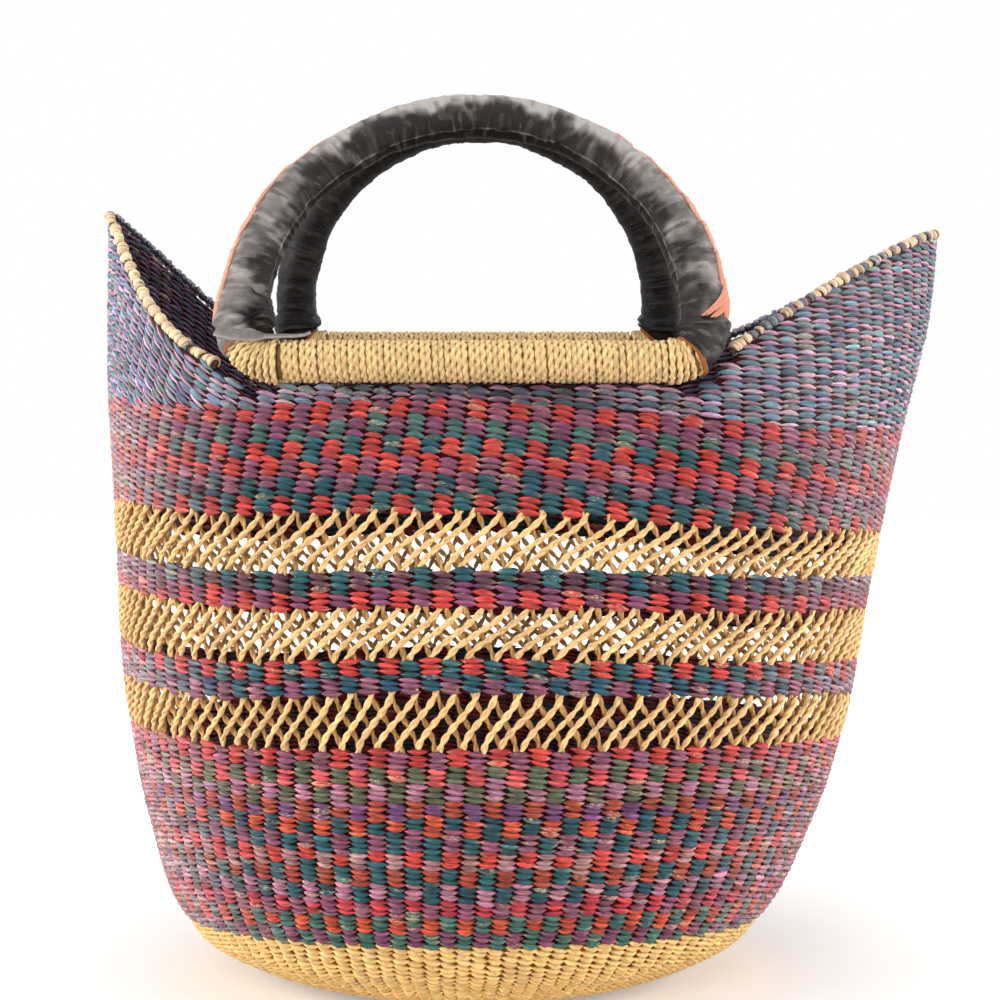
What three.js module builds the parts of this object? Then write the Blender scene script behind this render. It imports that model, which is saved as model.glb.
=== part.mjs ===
import * as THREE from 'three';

// A twined straw shopping basket with two raised wings and two leather-bound loop handles.
// Lengths are millimetres, angles degrees. The basket stands on z = 0, its front faces -y and
// its wings point along +x and -x. The origin is the middle of the base.

// Wall of the basket
const WALL_THICKNESS = 4.6;
const SEAM_GAP = 0.3;
const COLUMNS = 48;
const ARC_SAMPLES = 48;
const BASE_SIDE_SPANS = 2;
const LOWER_BAND_SPANS = 3;
const UPPER_BAND_SPANS = 2;
const CROWN_SPANS = 3;

// Rows of the weave, by their height at the middle of the front
const BASE_EDGE_LEVEL = 8;
const BASE_TOP = 40.7;
const LOWER_LATTICE_BOTTOM = 139.8;
const LOWER_LATTICE_TOP = 164.1;
const MIDDLE_LATTICE_BOTTOM = 180.2;
const MIDDLE_LATTICE_TOP = 204.5;
const UPPER_LATTICE_BOTTOM = 222.4;
const UPPER_LATTICE_TOP = 248.5;

// Outline of the wall along one row of the weave. reach is how far the outside of the wall lies
// from the middle at the right tip, the left tip, the front and the rear. tilt is how far the row
// lies above or below its height at the front, at the right tip, the left tip and the rear.
// square is the exponent that flattens the front and rear, and point is the one that sharpens
// the tips, where 0.5 is round.
const STATIONS = [
  { level: 0, reach: [76, 74, 64, 64], tilt: [0, 0, 0], square: 2, point: 0.5 },
  { level: 5, reach: [106, 107, 88, 88], tilt: [0, 0, 0], square: 2, point: 0.5 },
  { level: 16, reach: [133, 135, 104, 104], tilt: [-2, -2, -1.5], square: 2.05, point: 0.5 },
  { level: 40, reach: [155.5, 156.5, 118, 118], tilt: [-8.5, -8.5, -6], square: 2.1, point: 0.5 },
  { level: 90, reach: [183, 176, 134, 134], tilt: [-8, -6, -10], square: 2.2, point: 0.5 },
  { level: 140, reach: [198, 185, 141, 141], tilt: [-15, -12, -14], square: 2.3, point: 0.51 },
  { level: 164, reach: [204, 190, 142, 142], tilt: [-16, -4, -16], square: 2.4, point: 0.52 },
  { level: 204, reach: [212, 193, 141, 142], tilt: [-12, 2.5, -18.5], square: 2.7, point: 0.55 },
  { level: 248, reach: [221, 196, 132, 136], tilt: [-12.5, 6, -13], square: 3.3, point: 0.6 },
  { level: 302, reach: [235, 201, 110, 119], tilt: [-8.8, 10, -11], square: 4.6, point: 0.75 },
  { level: 360, reach: [250.5, 202.3, 85.6, 101.2], tilt: [-6, 10, -9.3], square: 4.45, point: 0.87 },
  { level: 402, reach: [255, 203, 68, 88], tilt: [-4, 10, -8], square: 4, point: 0.95 },
];

// Openwork lattices
const CORD_WIDTH = 3.2;
const LATTICE_THICKNESS = 3.6;
const LATTICE_INSET = 0.5;

// Wings: height of the wall at each tip and at each foot of a handle, and the two exponents that
// bend the edge between them
const LEFT_TIP_HEIGHT = 408;
const RIGHT_TIP_HEIGHT = 397;
const FRONT_LEFT_EDGE = { foot: 314, ease: 1, bend: 1.36 };
const FRONT_RIGHT_EDGE = { foot: 312.5, ease: 1.3, bend: 0.88 };
const REAR_LEFT_EDGE = { foot: 338, ease: 1.3, bend: 1.2 };
const REAR_RIGHT_EDGE = { foot: 336, ease: 1.2, bend: 1.05 };
const WING_COLUMNS = 8;
const ROLL_COLUMNS = 2;
const EDGING_RADIUS = 3.1;
const EDGING_SIDES = 6;

// Rim rolls: the bar of each handle turns in a straw sleeve that is wound with straw. The wings
// and the wall under the rolls begin a little below the front roll.
const FRONT_ROD_HEIGHT = 320.3;
const REAR_ROD_HEIGHT = 347;
const CROWN_BELOW_ROD = 17.8;
const CROWN_BOTTOM = FRONT_ROD_HEIGHT - CROWN_BELOW_ROD;
const ROD_RADIUS = 5.6;
const ROD_CLEARANCE = 0.4;
const SLEEVE_RADIUS = 7.8;
const WINDING_TURNS = 24;
const WINDING_STEPS = 10;
const WINDING_THICKNESS = 2;
const WINDING_CREST = 0.6;
const TURN_GAP = 0.6;
const TUBE_SIDES = 10;
const TOUCH_GAP = 0.3;
const RUN_GAP = 0.4;

// Handles: a bar, two bent feet and a round arch, leaning in over the mouth
const HANDLE_SHIFT = 0.8;
const HANDLE_LEAN = 18;
const ARCH_RADIUS = 111.5;
const ARCH_CENTRE = 23.5;
const ELBOW_RADIUS = 15;
const ELBOW_STEPS = 4;
const GRIP_FOOT_RADIUS = 12.3;
const GRIP_TOP_RADIUS = 10.4;
const GRIP_STEPS = 26;
const COLLAR_ROLL_RADIUS = 10.3;
const COLLAR_LEG_RADIUS = 13;
const BINDING_WIDTH = 2.3;
const BINDING_RADIUS = 10.7;
const SEAM_WIDTH = 4.4;
const SEAM_THICKNESS = 1.6;
const TAIL_LENGTH = 20;
const TAIL_WIDTHS = [7, 5.2, 1.8];
const TAIL_THICKNESS = 1.2;
const TAIL_ANGLE = 12;

// Clear space that the wall leaves under the turning feet
const FOOT_CLEARANCE = 1.8;

// Places round the wall, counted in quarter turns from the right tip
const RIGHT = 0;
const REAR = 1;
const LEFT = 2;
const FRONT = 3;
const FULL_TURN = 4;

// Numbers for finding directions and crossings, not sizes of the basket
const NORMAL_TURN_STEP = 0.02;
const NORMAL_LEVEL_STEP = 0.5;
const HALVINGS = 40;

const straw = { color: 0xd9b066, roughness: 0.85, metalness: 0 };
const dyedWeave = { color: 0x9a4a55, roughness: 0.85, metalness: 0 };
const wingWeave = { color: 0x655f80, roughness: 0.85, metalness: 0 };
const darkLeather = { color: 0x322b29, roughness: 0.5, metalness: 0 };
const coralThong = { color: 0xd9795a, roughness: 0.6, metalness: 0 };
const tanLeather = { color: 0x8f4f2a, roughness: 0.6, metalness: 0 };

// A closed body gathered face by face
class Body {
  constructor() {
    this.points = [];
    this.faces = [];
  }

  add(point) {
    this.points.push(point);
    return this.points.length - 1;
  }

  ring(points) {
    return points.map((point) => this.add(point));
  }

  triangle(a, b, c) {
    this.faces.push([a, b, c]);
  }

  quad(a, b, c, d) {
    this.triangle(a, b, c);
    this.triangle(a, c, d);
  }

  // Joins two rings of the same length, the second ring above or inside the first
  bridge(low, high) {
    low.forEach((from, i) => {
      const next = (i + 1) % low.length;
      this.quad(from, low[next], high[next], high[i]);
    });
  }

  // Closes a convex ring with a fan
  cap(ring) {
    for (let i = 1; i < ring.length - 1; i += 1) {
      this.triangle(ring[0], ring[i], ring[i + 1]);
    }
  }

  geometry() {
    const volume = this.faces.reduce((sum, [a, b, c]) => {
      const side = new THREE.Vector3().crossVectors(this.points[b], this.points[c]);
      return sum + this.points[a].dot(side) / 6;
    }, 0);
    const order = volume < 0 ? this.faces.map(([a, b, c]) => [a, c, b]) : this.faces;
    const geometry = new THREE.BufferGeometry();
    const positions = this.points.flatMap((point) => point.toArray());
    geometry.setAttribute('position', new THREE.Float32BufferAttribute(positions, 3));
    geometry.setIndex(order.flat());
    geometry.computeVertexNormals();
    return geometry;
  }
}

function piece(name, geometry, look) {
  const mesh = new THREE.Mesh(geometry, new THREE.MeshStandardMaterial(look));
  mesh.name = name;
  return mesh;
}

const radians = THREE.MathUtils.degToRad;
const lerp = THREE.MathUtils.lerp;

// Finds where a rising function reaches a value
function solve(rising, value, low, high) {
  let from = low;
  let to = high;
  for (let i = 0; i < HALVINGS; i += 1) {
    const middle = (from + to) / 2;
    if (rising(middle) < value) from = middle;
    else to = middle;
  }
  return (from + to) / 2;
}

// Smooth curve through one value of every station
function alongStations(level, value) {
  const last = STATIONS.length - 1;
  const found = STATIONS.findIndex((station, i) => i > 0 && level <= station.level);
  const i = found < 0 ? last - 1 : found - 1;
  const slopeBetween = (a, b) => {
    return (value(STATIONS[b]) - value(STATIONS[a])) / (STATIONS[b].level - STATIONS[a].level);
  };
  const slopeAt = (j) => {
    if (j === 0) return slopeBetween(0, 1);
    if (j === last) return slopeBetween(last - 1, last);
    const before = STATIONS[j].level - STATIONS[j - 1].level;
    const after = STATIONS[j + 1].level - STATIONS[j].level;
    return (slopeBetween(j - 1, j) * after + slopeBetween(j, j + 1) * before) / (before + after);
  };
  const span = STATIONS[i + 1].level - STATIONS[i].level;
  const t = (level - STATIONS[i].level) / span;
  const start = (2 * t ** 3 - 3 * t ** 2 + 1) * value(STATIONS[i]);
  const end = (3 * t ** 2 - 2 * t ** 3) * value(STATIONS[i + 1]);
  const leave = (t ** 3 - 2 * t ** 2 + t) * span * slopeAt(i);
  const arrive = (t ** 3 - t ** 2) * span * slopeAt(i + 1);
  return start + end + leave + arrive;
}

// The sizes of the row at a level
const rows = new Map();
function rowAt(level) {
  if (!rows.has(level)) {
    const pick = (value) => alongStations(level, value);
    rows.set(level, {
      reach: STATIONS[0].reach.map((_, i) => pick((station) => station.reach[i])),
      tilt: STATIONS[0].tilt.map((_, i) => pick((station) => station.tilt[i])),
      square: pick((station) => station.square),
      point: pick((station) => station.point),
    });
  }
  return rows.get(level);
}

// Point on the outside of the wall at an angle round the outline
function outlinePoint(angle, level) {
  const { reach, tilt, square, point } = rowAt(level);
  const [right, left, front, rear] = reach;
  const [rightTilt, leftTilt, rearTilt] = tilt;
  const c = Math.cos(angle);
  const s = Math.sin(angle);
  const x = (c > 0 ? right : -left) * Math.abs(c) ** (2 / square);
  const y = (s > 0 ? rear : -front) * Math.abs(s) ** (2 * point);
  const mean = (rightTilt + leftTilt + rearTilt) / 4;
  const swing = ((rightTilt - leftTilt) * c + rearTilt * s) / 2;
  const saddle = ((rightTilt + leftTilt - rearTilt) * Math.cos(2 * angle)) / 4;
  return new THREE.Vector3(x, y, level + mean + swing + saddle);
}

// Lengths along one quarter of a row, measured from the start of the quarter
const quarters = new Map();
function quarterAt(quarter, level) {
  const key = `${quarter}/${level}`;
  if (!quarters.has(key)) {
    const points = [];
    const lengths = [0];
    for (let i = 0; i <= ARC_SAMPLES; i += 1) {
      points.push(outlinePoint(((quarter + i / ARC_SAMPLES) * Math.PI) / 2, level));
      if (i > 0) lengths.push(lengths[i - 1] + points[i].distanceTo(points[i - 1]));
    }
    quarters.set(key, { points, lengths });
  }
  return quarters.get(key);
}

// Point on the outside of the wall. turn runs from 0 at the right tip over 1 at the rear, 2 at
// the left tip and 3 at the front to 4, by equal lengths within each quarter.
function wallPoint(turn, level) {
  const around = ((turn % FULL_TURN) + FULL_TURN) % FULL_TURN;
  const quarter = Math.min(Math.floor(around), FULL_TURN - 1);
  const { points, lengths } = quarterAt(quarter, level);
  const target = (around - quarter) * lengths[ARC_SAMPLES];
  let i = 1;
  while (i < ARC_SAMPLES && lengths[i] < target) i += 1;
  const part = (target - lengths[i - 1]) / (lengths[i] - lengths[i - 1]);
  return points[i - 1].clone().lerp(points[i], part);
}

function wallNormal(turn, level) {
  const below = Math.max(0, level - NORMAL_LEVEL_STEP);
  const before = wallPoint(turn - NORMAL_TURN_STEP, level);
  const along = wallPoint(turn + NORMAL_TURN_STEP, level).sub(before);
  const up = wallPoint(turn, level + NORMAL_LEVEL_STEP).sub(wallPoint(turn, below));
  return along.cross(up).normalize();
}

// Point inside the wall, at a depth below its outside
function wallDepthPoint(turn, level, depth) {
  return wallPoint(turn, level).addScaledVector(wallNormal(turn, level), -depth);
}

function rowLength(level) {
  const lengths = [RIGHT, REAR, LEFT, FRONT].map((quarter) => quarterAt(quarter, level).lengths);
  return lengths.reduce((sum, quarter) => sum + quarter[ARC_SAMPLES], 0);
}

function rowPlaces(level) {
  return Array.from({ length: COLUMNS }, (_, i) => [(FULL_TURN * i) / COLUMNS, level]);
}

// Closed band of wall through rings of turn and level pairs, lowest ring first
function bandBody(ringsOfPlaces) {
  const body = new Body();
  const ringsAt = (depth) => ringsOfPlaces.map((places) => {
    return body.ring(places.map(([turn, level]) => wallDepthPoint(turn, level, depth)));
  });
  const outer = ringsAt(0);
  const inner = ringsAt(WALL_THICKNESS);
  const last = outer.length - 1;
  for (let i = 1; i <= last; i += 1) {
    body.bridge(outer[i - 1], outer[i]);
    body.bridge(inner[i], inner[i - 1]);
  }
  body.bridge(outer[last], inner[last]);
  return { body, outer, inner };
}

function closedBand(ringsOfPlaces) {
  const { body, outer, inner } = bandBody(ringsOfPlaces);
  body.bridge(inner[0], outer[0]);
  return body.geometry();
}

// Band of weave between two levels
function weaveBand(bottom, top, spans) {
  const low = bottom + SEAM_GAP / 2;
  const high = top - SEAM_GAP / 2;
  const levels = Array.from({ length: spans + 1 }, (_, i) => lerp(low, high, i / spans));
  return closedBand(levels.map(rowPlaces));
}

// Floor of the basket: a flat disc with a low rim
function baseFloor() {
  const { body, outer, inner } = bandBody([0, BASE_EDGE_LEVEL - SEAM_GAP / 2].map(rowPlaces));
  const underside = body.add(new THREE.Vector3(0, 0, 0));
  const floor = body.add(new THREE.Vector3(0, 0, WALL_THICKNESS));
  outer[0].forEach((from, i) => {
    const next = (i + 1) % COLUMNS;
    body.triangle(underside, outer[0][next], from);
    body.triangle(floor, inner[0][i], inner[0][next]);
  });
  return body.geometry();
}

// Openwork lattice: in every cell one cord rises to the right and one to the left, fused where
// they cross and where they meet the rows above and below
function lattice(bottom, top) {
  const low = bottom + SEAM_GAP / 2;
  const high = top - SEAM_GAP / 2;
  const halfWidth = rowLength((low + high) / 2) / COLUMNS / 2;
  const halfHeight = (high - low) / 2;
  const diagonal = Math.hypot(halfWidth, halfHeight);
  const acrossShare = (CORD_WIDTH / 2) * (diagonal / halfHeight) / halfWidth;
  const upShare = (CORD_WIDTH / 2) * (diagonal / halfWidth) / halfHeight;
  const body = new Body();
  const depths = [LATTICE_INSET, LATTICE_INSET + LATTICE_THICKNESS];

  // across and up run from -1 to 1 over a cell
  const corner = (cell, across, up) => {
    const turn = (FULL_TURN * (cell + 0.5 + across / 2)) / COLUMNS;
    const level = lerp(low, high, (up + 1) / 2);
    return depths.map((depth) => body.add(wallDepthPoint(turn, level, depth)));
  };
  const diamond = [[acrossShare, 0], [0, upShare], [-acrossShare, 0], [0, -upShare]];
  const cells = Array.from({ length: COLUMNS }, (_, cell) => ({
    crossing: diamond.map(([across, up]) => corner(cell, across, up)),
    topCrotch: corner(cell, 1, 1 - upShare),
    bottomCrotch: corner(cell, 1, upShare - 1),
    topEnds: [corner(cell, -1 + acrossShare, 1), corner(cell, 1 - acrossShare, 1)],
    bottomEnds: [corner(cell, -1 + acrossShare, -1), corner(cell, 1 - acrossShare, -1)],
  }));
  const plate = (a, b, c, d) => {
    body.quad(a[0], b[0], c[0], d[0]);
    body.quad(d[1], c[1], b[1], a[1]);
  };
  const edge = (a, b) => body.quad(b[0], a[0], a[1], b[1]);
  cells.forEach((cell, i) => {
    const left = cells[(i + COLUMNS - 1) % COLUMNS];
    const next = cells[(i + 1) % COLUMNS];
    const [east, north, west, south] = cell.crossing;
    plate(east, north, west, south);
    plate(east, cell.topCrotch, cell.topEnds[1], north);
    plate(north, cell.topEnds[0], left.topCrotch, west);
    plate(west, left.bottomCrotch, cell.bottomEnds[0], south);
    plate(south, cell.bottomEnds[1], cell.bottomCrotch, east);
    edge(east, cell.topCrotch);
    edge(cell.topEnds[1], north);
    edge(north, cell.topEnds[0]);
    edge(left.topCrotch, west);
    edge(west, left.bottomCrotch);
    edge(cell.bottomEnds[0], south);
    edge(south, cell.bottomEnds[1]);
    edge(cell.bottomCrotch, east);
    body.triangle(cell.topEnds[1][0], cell.topCrotch[0], next.topEnds[0][0]);
    body.triangle(cell.topEnds[1][1], next.topEnds[0][1], cell.topCrotch[1]);
    edge(next.topEnds[0], cell.topEnds[1]);
    body.triangle(cell.bottomEnds[1][0], next.bottomEnds[0][0], cell.bottomCrotch[0]);
    body.triangle(cell.bottomEnds[1][1], cell.bottomCrotch[1], next.bottomEnds[0][1]);
    edge(cell.bottomEnds[1], next.bottomEnds[0]);
  });
  return body.geometry();
}

// Rim rolls and handle loops share these places
const legX = ARCH_RADIUS;
const elbowX = ARCH_RADIUS - ELBOW_RADIUS;
const rollEnd = elbowX - TOUCH_GAP - BINDING_WIDTH - RUN_GAP;
const boreRadius = (ROD_RADIUS + ROD_CLEARANCE) / Math.cos(Math.PI / TUBE_SIDES);
const windingRadius = (SLEEVE_RADIUS + TOUCH_GAP) / Math.cos(Math.PI / WINDING_STEPS);
const rollRadius = windingRadius + WINDING_THICKNESS;

// Radius of a foot's collar, as a share of its length from the roll to the leg
const elbowLength = (ELBOW_RADIUS * Math.PI) / 2;
const collarLength = elbowLength + ARCH_CENTRE - ELBOW_RADIUS;
function collarRadius(share) {
  return lerp(COLLAR_ROLL_RADIUS, COLLAR_LEG_RADIUS, share);
}

// Height of a foot's underside above the rod at a distance from the middle of the handle
function footUnderside(x) {
  const beyond = Math.max(0, x - elbowX);
  const reach = ELBOW_RADIUS + COLLAR_LEG_RADIUS;
  if (beyond >= reach) return Infinity;
  const share = (Math.asin(beyond / reach) * ELBOW_RADIUS) / collarLength;
  const radius = ELBOW_RADIUS + collarRadius(share);
  return beyond >= radius ? Infinity : ELBOW_RADIUS - Math.sqrt(radius ** 2 - beyond ** 2);
}

// Level at which the wall reaches a height. The search ends above the tallest tip.
const topLevel = Math.max(LEFT_TIP_HEIGHT, RIGHT_TIP_HEIGHT, REAR_ROD_HEIGHT) + WALL_THICKNESS * 3;
function levelOfHeight(turn, height) {
  return solve((level) => wallPoint(turn, level).z, height, CROWN_BOTTOM, topLevel);
}

const frontSide = { rodHeight: FRONT_ROD_HEIGHT, centre: FRONT };
const rearSide = { rodHeight: REAR_ROD_HEIGHT, centre: REAR };
for (const side of [frontSide, rearSide]) {
  side.seatHeight = side.rodHeight - rollRadius - TOUCH_GAP;
  side.seatLevel = levelOfHeight(side.centre, side.seatHeight);
  side.rodY = wallDepthPoint(side.centre, side.seatLevel, WALL_THICKNESS / 2).y;
}

// The four quarters of the crown. share runs from 0 at the wing's tip to 1 at the middle of the
// roll.
const crownQuarters = [
  { side: rearSide, tip: RIGHT, hand: 1, tipHeight: RIGHT_TIP_HEIGHT, edge: REAR_RIGHT_EDGE },
  { side: rearSide, tip: LEFT, hand: -1, tipHeight: LEFT_TIP_HEIGHT, edge: REAR_LEFT_EDGE },
  { side: frontSide, tip: LEFT, hand: 1, tipHeight: LEFT_TIP_HEIGHT, edge: FRONT_LEFT_EDGE },
  { side: frontSide, tip: FULL_TURN, hand: -1, tipHeight: RIGHT_TIP_HEIGHT, edge: FRONT_RIGHT_EDGE },
];
const edgingStart = legX + COLLAR_LEG_RADIUS + RUN_GAP + 2 * EDGING_RADIUS;
const footSteps = [
  edgingStart,
  legX + COLLAR_LEG_RADIUS,
  legX + ELBOW_RADIUS / 2,
  legX,
  legX - ELBOW_RADIUS / 2,
  elbowX,
];
const turnAt = (quarter, share) => quarter.tip + quarter.hand * share;
for (const quarter of crownQuarters) {
  const xAt = (share) => {
    return Math.abs(wallPoint(turnAt(quarter, share), quarter.side.seatLevel).x - HANDLE_SHIFT);
  };
  const shareAt = (x) => solve((share) => -xAt(share), -x, 0, 1);
  const wingShare = shareAt(edgingStart);
  const rollShare = shareAt(elbowX);
  quarter.footShare = shareAt(legX);
  quarter.shares = [
    ...Array.from({ length: WING_COLUMNS }, (_, i) => (wingShare * i) / WING_COLUMNS),
    ...footSteps.map(shareAt),
    ...Array.from({ length: ROLL_COLUMNS - 1 }, (_, i) => lerp(rollShare, 1, (i + 1) / ROLL_COLUMNS)),
  ];
}

// Height of the top of the wall along a quarter of the crown
function crownHeight(quarter, share) {
  const { side, edge, tipHeight, footShare } = quarter;
  const x = Math.abs(wallPoint(turnAt(quarter, share), side.seatLevel).x - HANDLE_SHIFT);
  const limit = side.rodHeight + footUnderside(x) - FOOT_CLEARANCE;
  if (share < footShare) {
    const climb = 1 - share / footShare;
    const rise = (1 - (1 - climb) ** edge.ease) ** edge.bend;
    return Math.min(lerp(edge.foot, tipHeight, rise), limit);
  }
  if (x <= elbowX) return side.seatHeight;
  const height = lerp(side.seatHeight, edge.foot, (x - elbowX) / (legX - elbowX));
  return Math.max(side.seatHeight - FOOT_CLEARANCE, Math.min(height, limit));
}

// Turn and level of the top of the wall at each column of a quarter, from the tip inwards
function crownEdge(quarter) {
  return quarter.shares.map((share) => {
    const turn = turnAt(quarter, share);
    return [turn, levelOfHeight(turn, crownHeight(quarter, share))];
  });
}

// Weave above the upper band: the two wings and the low wall under each roll
function wingWeaveBand() {
  const [rearRight, rearLeft, frontLeft, frontRight] = crownQuarters.map(crownEdge);
  const middle = (side) => [side.centre, side.seatLevel];
  const top = [
    ...rearRight,
    middle(rearSide),
    ...rearLeft.slice(1).reverse(),
    ...frontLeft,
    middle(frontSide),
    ...frontRight.slice(1).reverse(),
  ];
  const low = CROWN_BOTTOM + SEAM_GAP / 2;
  const rings = Array.from({ length: CROWN_SPANS + 1 }, (_, i) => {
    return top.map(([turn, level]) => [turn, lerp(low, level, i / CROWN_SPANS)]);
  });
  return closedBand(rings);
}

// Tube through points, each with the two directions of its section
function sweep(stops, section) {
  const body = new Body();
  const rings = stops.map(({ at, side, up, scale = 1 }) => {
    return body.ring(section.map(([a, b]) => {
      return at.clone().addScaledVector(side, a * scale).addScaledVector(up, b * scale);
    }));
  });
  for (let i = 1; i < rings.length; i += 1) body.bridge(rings[i - 1], rings[i]);
  body.cap([...rings[0]].reverse());
  body.cap(rings[rings.length - 1]);
  return body;
}

// Regular section with a flat on its first side
function roundSection(radius, sides) {
  return Array.from({ length: sides }, (_, i) => {
    const angle = ((i + 0.5) * 2 * Math.PI) / sides;
    return [radius * Math.cos(angle), radius * Math.sin(angle)];
  });
}

// Straw edging that is sewn along the top of a wing, from the front foot over the tip to the rear
function wingEdging(frontQuarter, rearQuarter) {
  const front = crownEdge(frontQuarter).slice(0, WING_COLUMNS + 1);
  const rear = crownEdge(rearQuarter).slice(0, WING_COLUMNS + 1);
  const places = [...front.slice(1).reverse(), ...rear];
  const middles = places.map(([turn, level]) => wallDepthPoint(turn, level, WALL_THICKNESS / 2));
  const stops = middles.map((point, i) => {
    const before = middles[Math.max(0, i - 1)];
    const after = middles[Math.min(middles.length - 1, i + 1)];
    const into = point.clone().sub(before).normalize();
    const out = after.clone().sub(point).normalize();
    const along = into.clone().add(out).normalize();
    const straight = Math.max(along.dot(into), along.dot(out));
    const normal = wallNormal(...places[i]);
    const up = normal.clone().cross(along).normalize();
    if (up.z < 0) up.negate();
    const side = along.clone().cross(up).normalize();
    const lift = (EDGING_RADIUS + TOUCH_GAP) / (i === 0 || i === middles.length - 1 ? 1 : straight);
    return { at: point.clone().addScaledVector(up, lift), side, up };
  });
  return sweep(stops, roundSection(EDGING_RADIUS, EDGING_SIDES)).geometry();
}

const X_AXIS = new THREE.Vector3(1, 0, 0);
const Y_AXIS = new THREE.Vector3(0, 1, 0);

// Straight hollow tube along x
function tubeAlongX(from, to, outerRadius, innerRadius) {
  const body = new Body();
  const circle = (x, radius) => {
    return body.ring(roundSection(radius, TUBE_SIDES).map(([y, z]) => new THREE.Vector3(x, y, z)));
  };
  const outer = [circle(from, outerRadius), circle(to, outerRadius)];
  const inner = [circle(from, innerRadius), circle(to, innerRadius)];
  body.bridge(outer[0], outer[1]);
  body.bridge(inner[1], inner[0]);
  body.bridge(inner[0], outer[0]);
  body.bridge(outer[1], inner[1]);
  return body.geometry();
}

// Straw wound round the sleeve in one unbroken flat strand
function rimWinding() {
  const width = (2 * rollEnd - WINDING_TURNS * TURN_GAP) / (WINDING_TURNS + 1);
  const travel = 2 * rollEnd - width;
  const section = [
    [-width / 2, 0],
    [width / 2, 0],
    [(width / 2) * WINDING_CREST, WINDING_THICKNESS],
    [(-width / 2) * WINDING_CREST, WINDING_THICKNESS],
  ];
  const steps = WINDING_TURNS * WINDING_STEPS;
  const stops = Array.from({ length: steps + 1 }, (_, i) => {
    const angle = (i / WINDING_STEPS) * 2 * Math.PI;
    const out = new THREE.Vector3(0, Math.cos(angle), Math.sin(angle));
    const x = -travel / 2 + (travel * i) / steps;
    return { at: new THREE.Vector3(x, 0, 0).addScaledVector(out, windingRadius), side: X_AXIS, up: out };
  });
  const pitch = travel / WINDING_TURNS;
  const leastGap = stops.slice(WINDING_STEPS).reduce((least, stop, i) => {
    return Math.min(least, stop.at.x - width / 2 - (stops[i].at.x + width / 2));
  }, pitch);
  console.log(`Least gap between the turns of a rim winding: ${leastGap.toFixed(2)} mm`);
  return sweep(stops, section).geometry();
}

// Places along a foot, from the roll round the elbow and up the leg, for the right-hand foot
function footStops(radiusAt) {
  const stops = Array.from({ length: ELBOW_STEPS + 1 }, (_, i) => {
    const angle = (i / ELBOW_STEPS) * (Math.PI / 2);
    const out = new THREE.Vector3(Math.sin(angle), 0, -Math.cos(angle));
    const at = new THREE.Vector3(elbowX, 0, ELBOW_RADIUS).addScaledVector(out, ELBOW_RADIUS);
    return { at, side: out, up: Y_AXIS, scale: radiusAt((angle * ELBOW_RADIUS) / collarLength) };
  });
  const legTop = new THREE.Vector3(legX, 0, ARCH_CENTRE - TOUCH_GAP);
  return [...stops, { at: legTop, side: X_AXIS, up: Y_AXIS, scale: radiusAt(1) }];
}

function mirrorStops(stops) {
  const flip = (vector) => new THREE.Vector3(-vector.x, vector.y, vector.z);
  return stops.map((stop) => ({ ...stop, at: flip(stop.at), side: flip(stop.side) }));
}

// Bar of the handle: it runs through the roll and turns up into both feet
function handleRod() {
  const right = footStops(() => 1);
  const left = mirrorStops(right).reverse();
  return sweep([...left, ...right], roundSection(ROD_RADIUS, TUBE_SIDES)).geometry();
}

// Leather collar round a foot, open inside for the bar. hand is -1 on the left and 1 on the right.
function collar(hand) {
  const place = (stops) => (hand < 0 ? mirrorStops(stops) : stops);
  const body = new Body();
  const ringAt = ({ at, side, up, scale }) => {
    return body.ring(roundSection(1, TUBE_SIDES).map(([a, b]) => {
      return at.clone().addScaledVector(side, a * scale).addScaledVector(up, b * scale);
    }));
  };
  const outer = place(footStops(collarRadius)).map(ringAt);
  const inner = place(footStops(() => boreRadius)).map(ringAt);
  const last = outer.length - 1;
  for (let i = 1; i <= last; i += 1) {
    body.bridge(outer[i - 1], outer[i]);
    body.bridge(inner[i], inner[i - 1]);
  }
  body.bridge(inner[0], outer[0]);
  body.bridge(outer[last], inner[last]);
  return body.geometry();
}

function archStops(steps, radiusAt, offset) {
  return Array.from({ length: steps + 1 }, (_, i) => {
    const angle = (i / steps) * Math.PI;
    const out = new THREE.Vector3(Math.cos(angle), 0, Math.sin(angle));
    const at = new THREE.Vector3(0, 0, ARCH_CENTRE).addScaledVector(out, ARCH_RADIUS + offset(angle));
    return { at, side: out, up: Y_AXIS, scale: radiusAt(angle) };
  });
}

function gripRadius(angle) {
  return lerp(GRIP_FOOT_RADIUS, GRIP_TOP_RADIUS, Math.sin(angle));
}

// Leather-covered arch that the hand holds
function grip() {
  return sweep(archStops(GRIP_STEPS, gripRadius, () => 0), roundSection(1, TUBE_SIDES)).geometry();
}

// Lacing along the outside of the arch, on the flat of its section
function seam() {
  const flat = Math.cos(Math.PI / TUBE_SIDES);
  const base = (angle) => gripRadius(angle) * flat + TOUCH_GAP;
  const section = [
    [0, -SEAM_WIDTH / 2],
    [SEAM_THICKNESS, -SEAM_WIDTH / 4],
    [SEAM_THICKNESS, SEAM_WIDTH / 4],
    [0, SEAM_WIDTH / 2],
  ];
  return sweep(archStops(GRIP_STEPS, () => 1, base), section).geometry();
}

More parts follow.
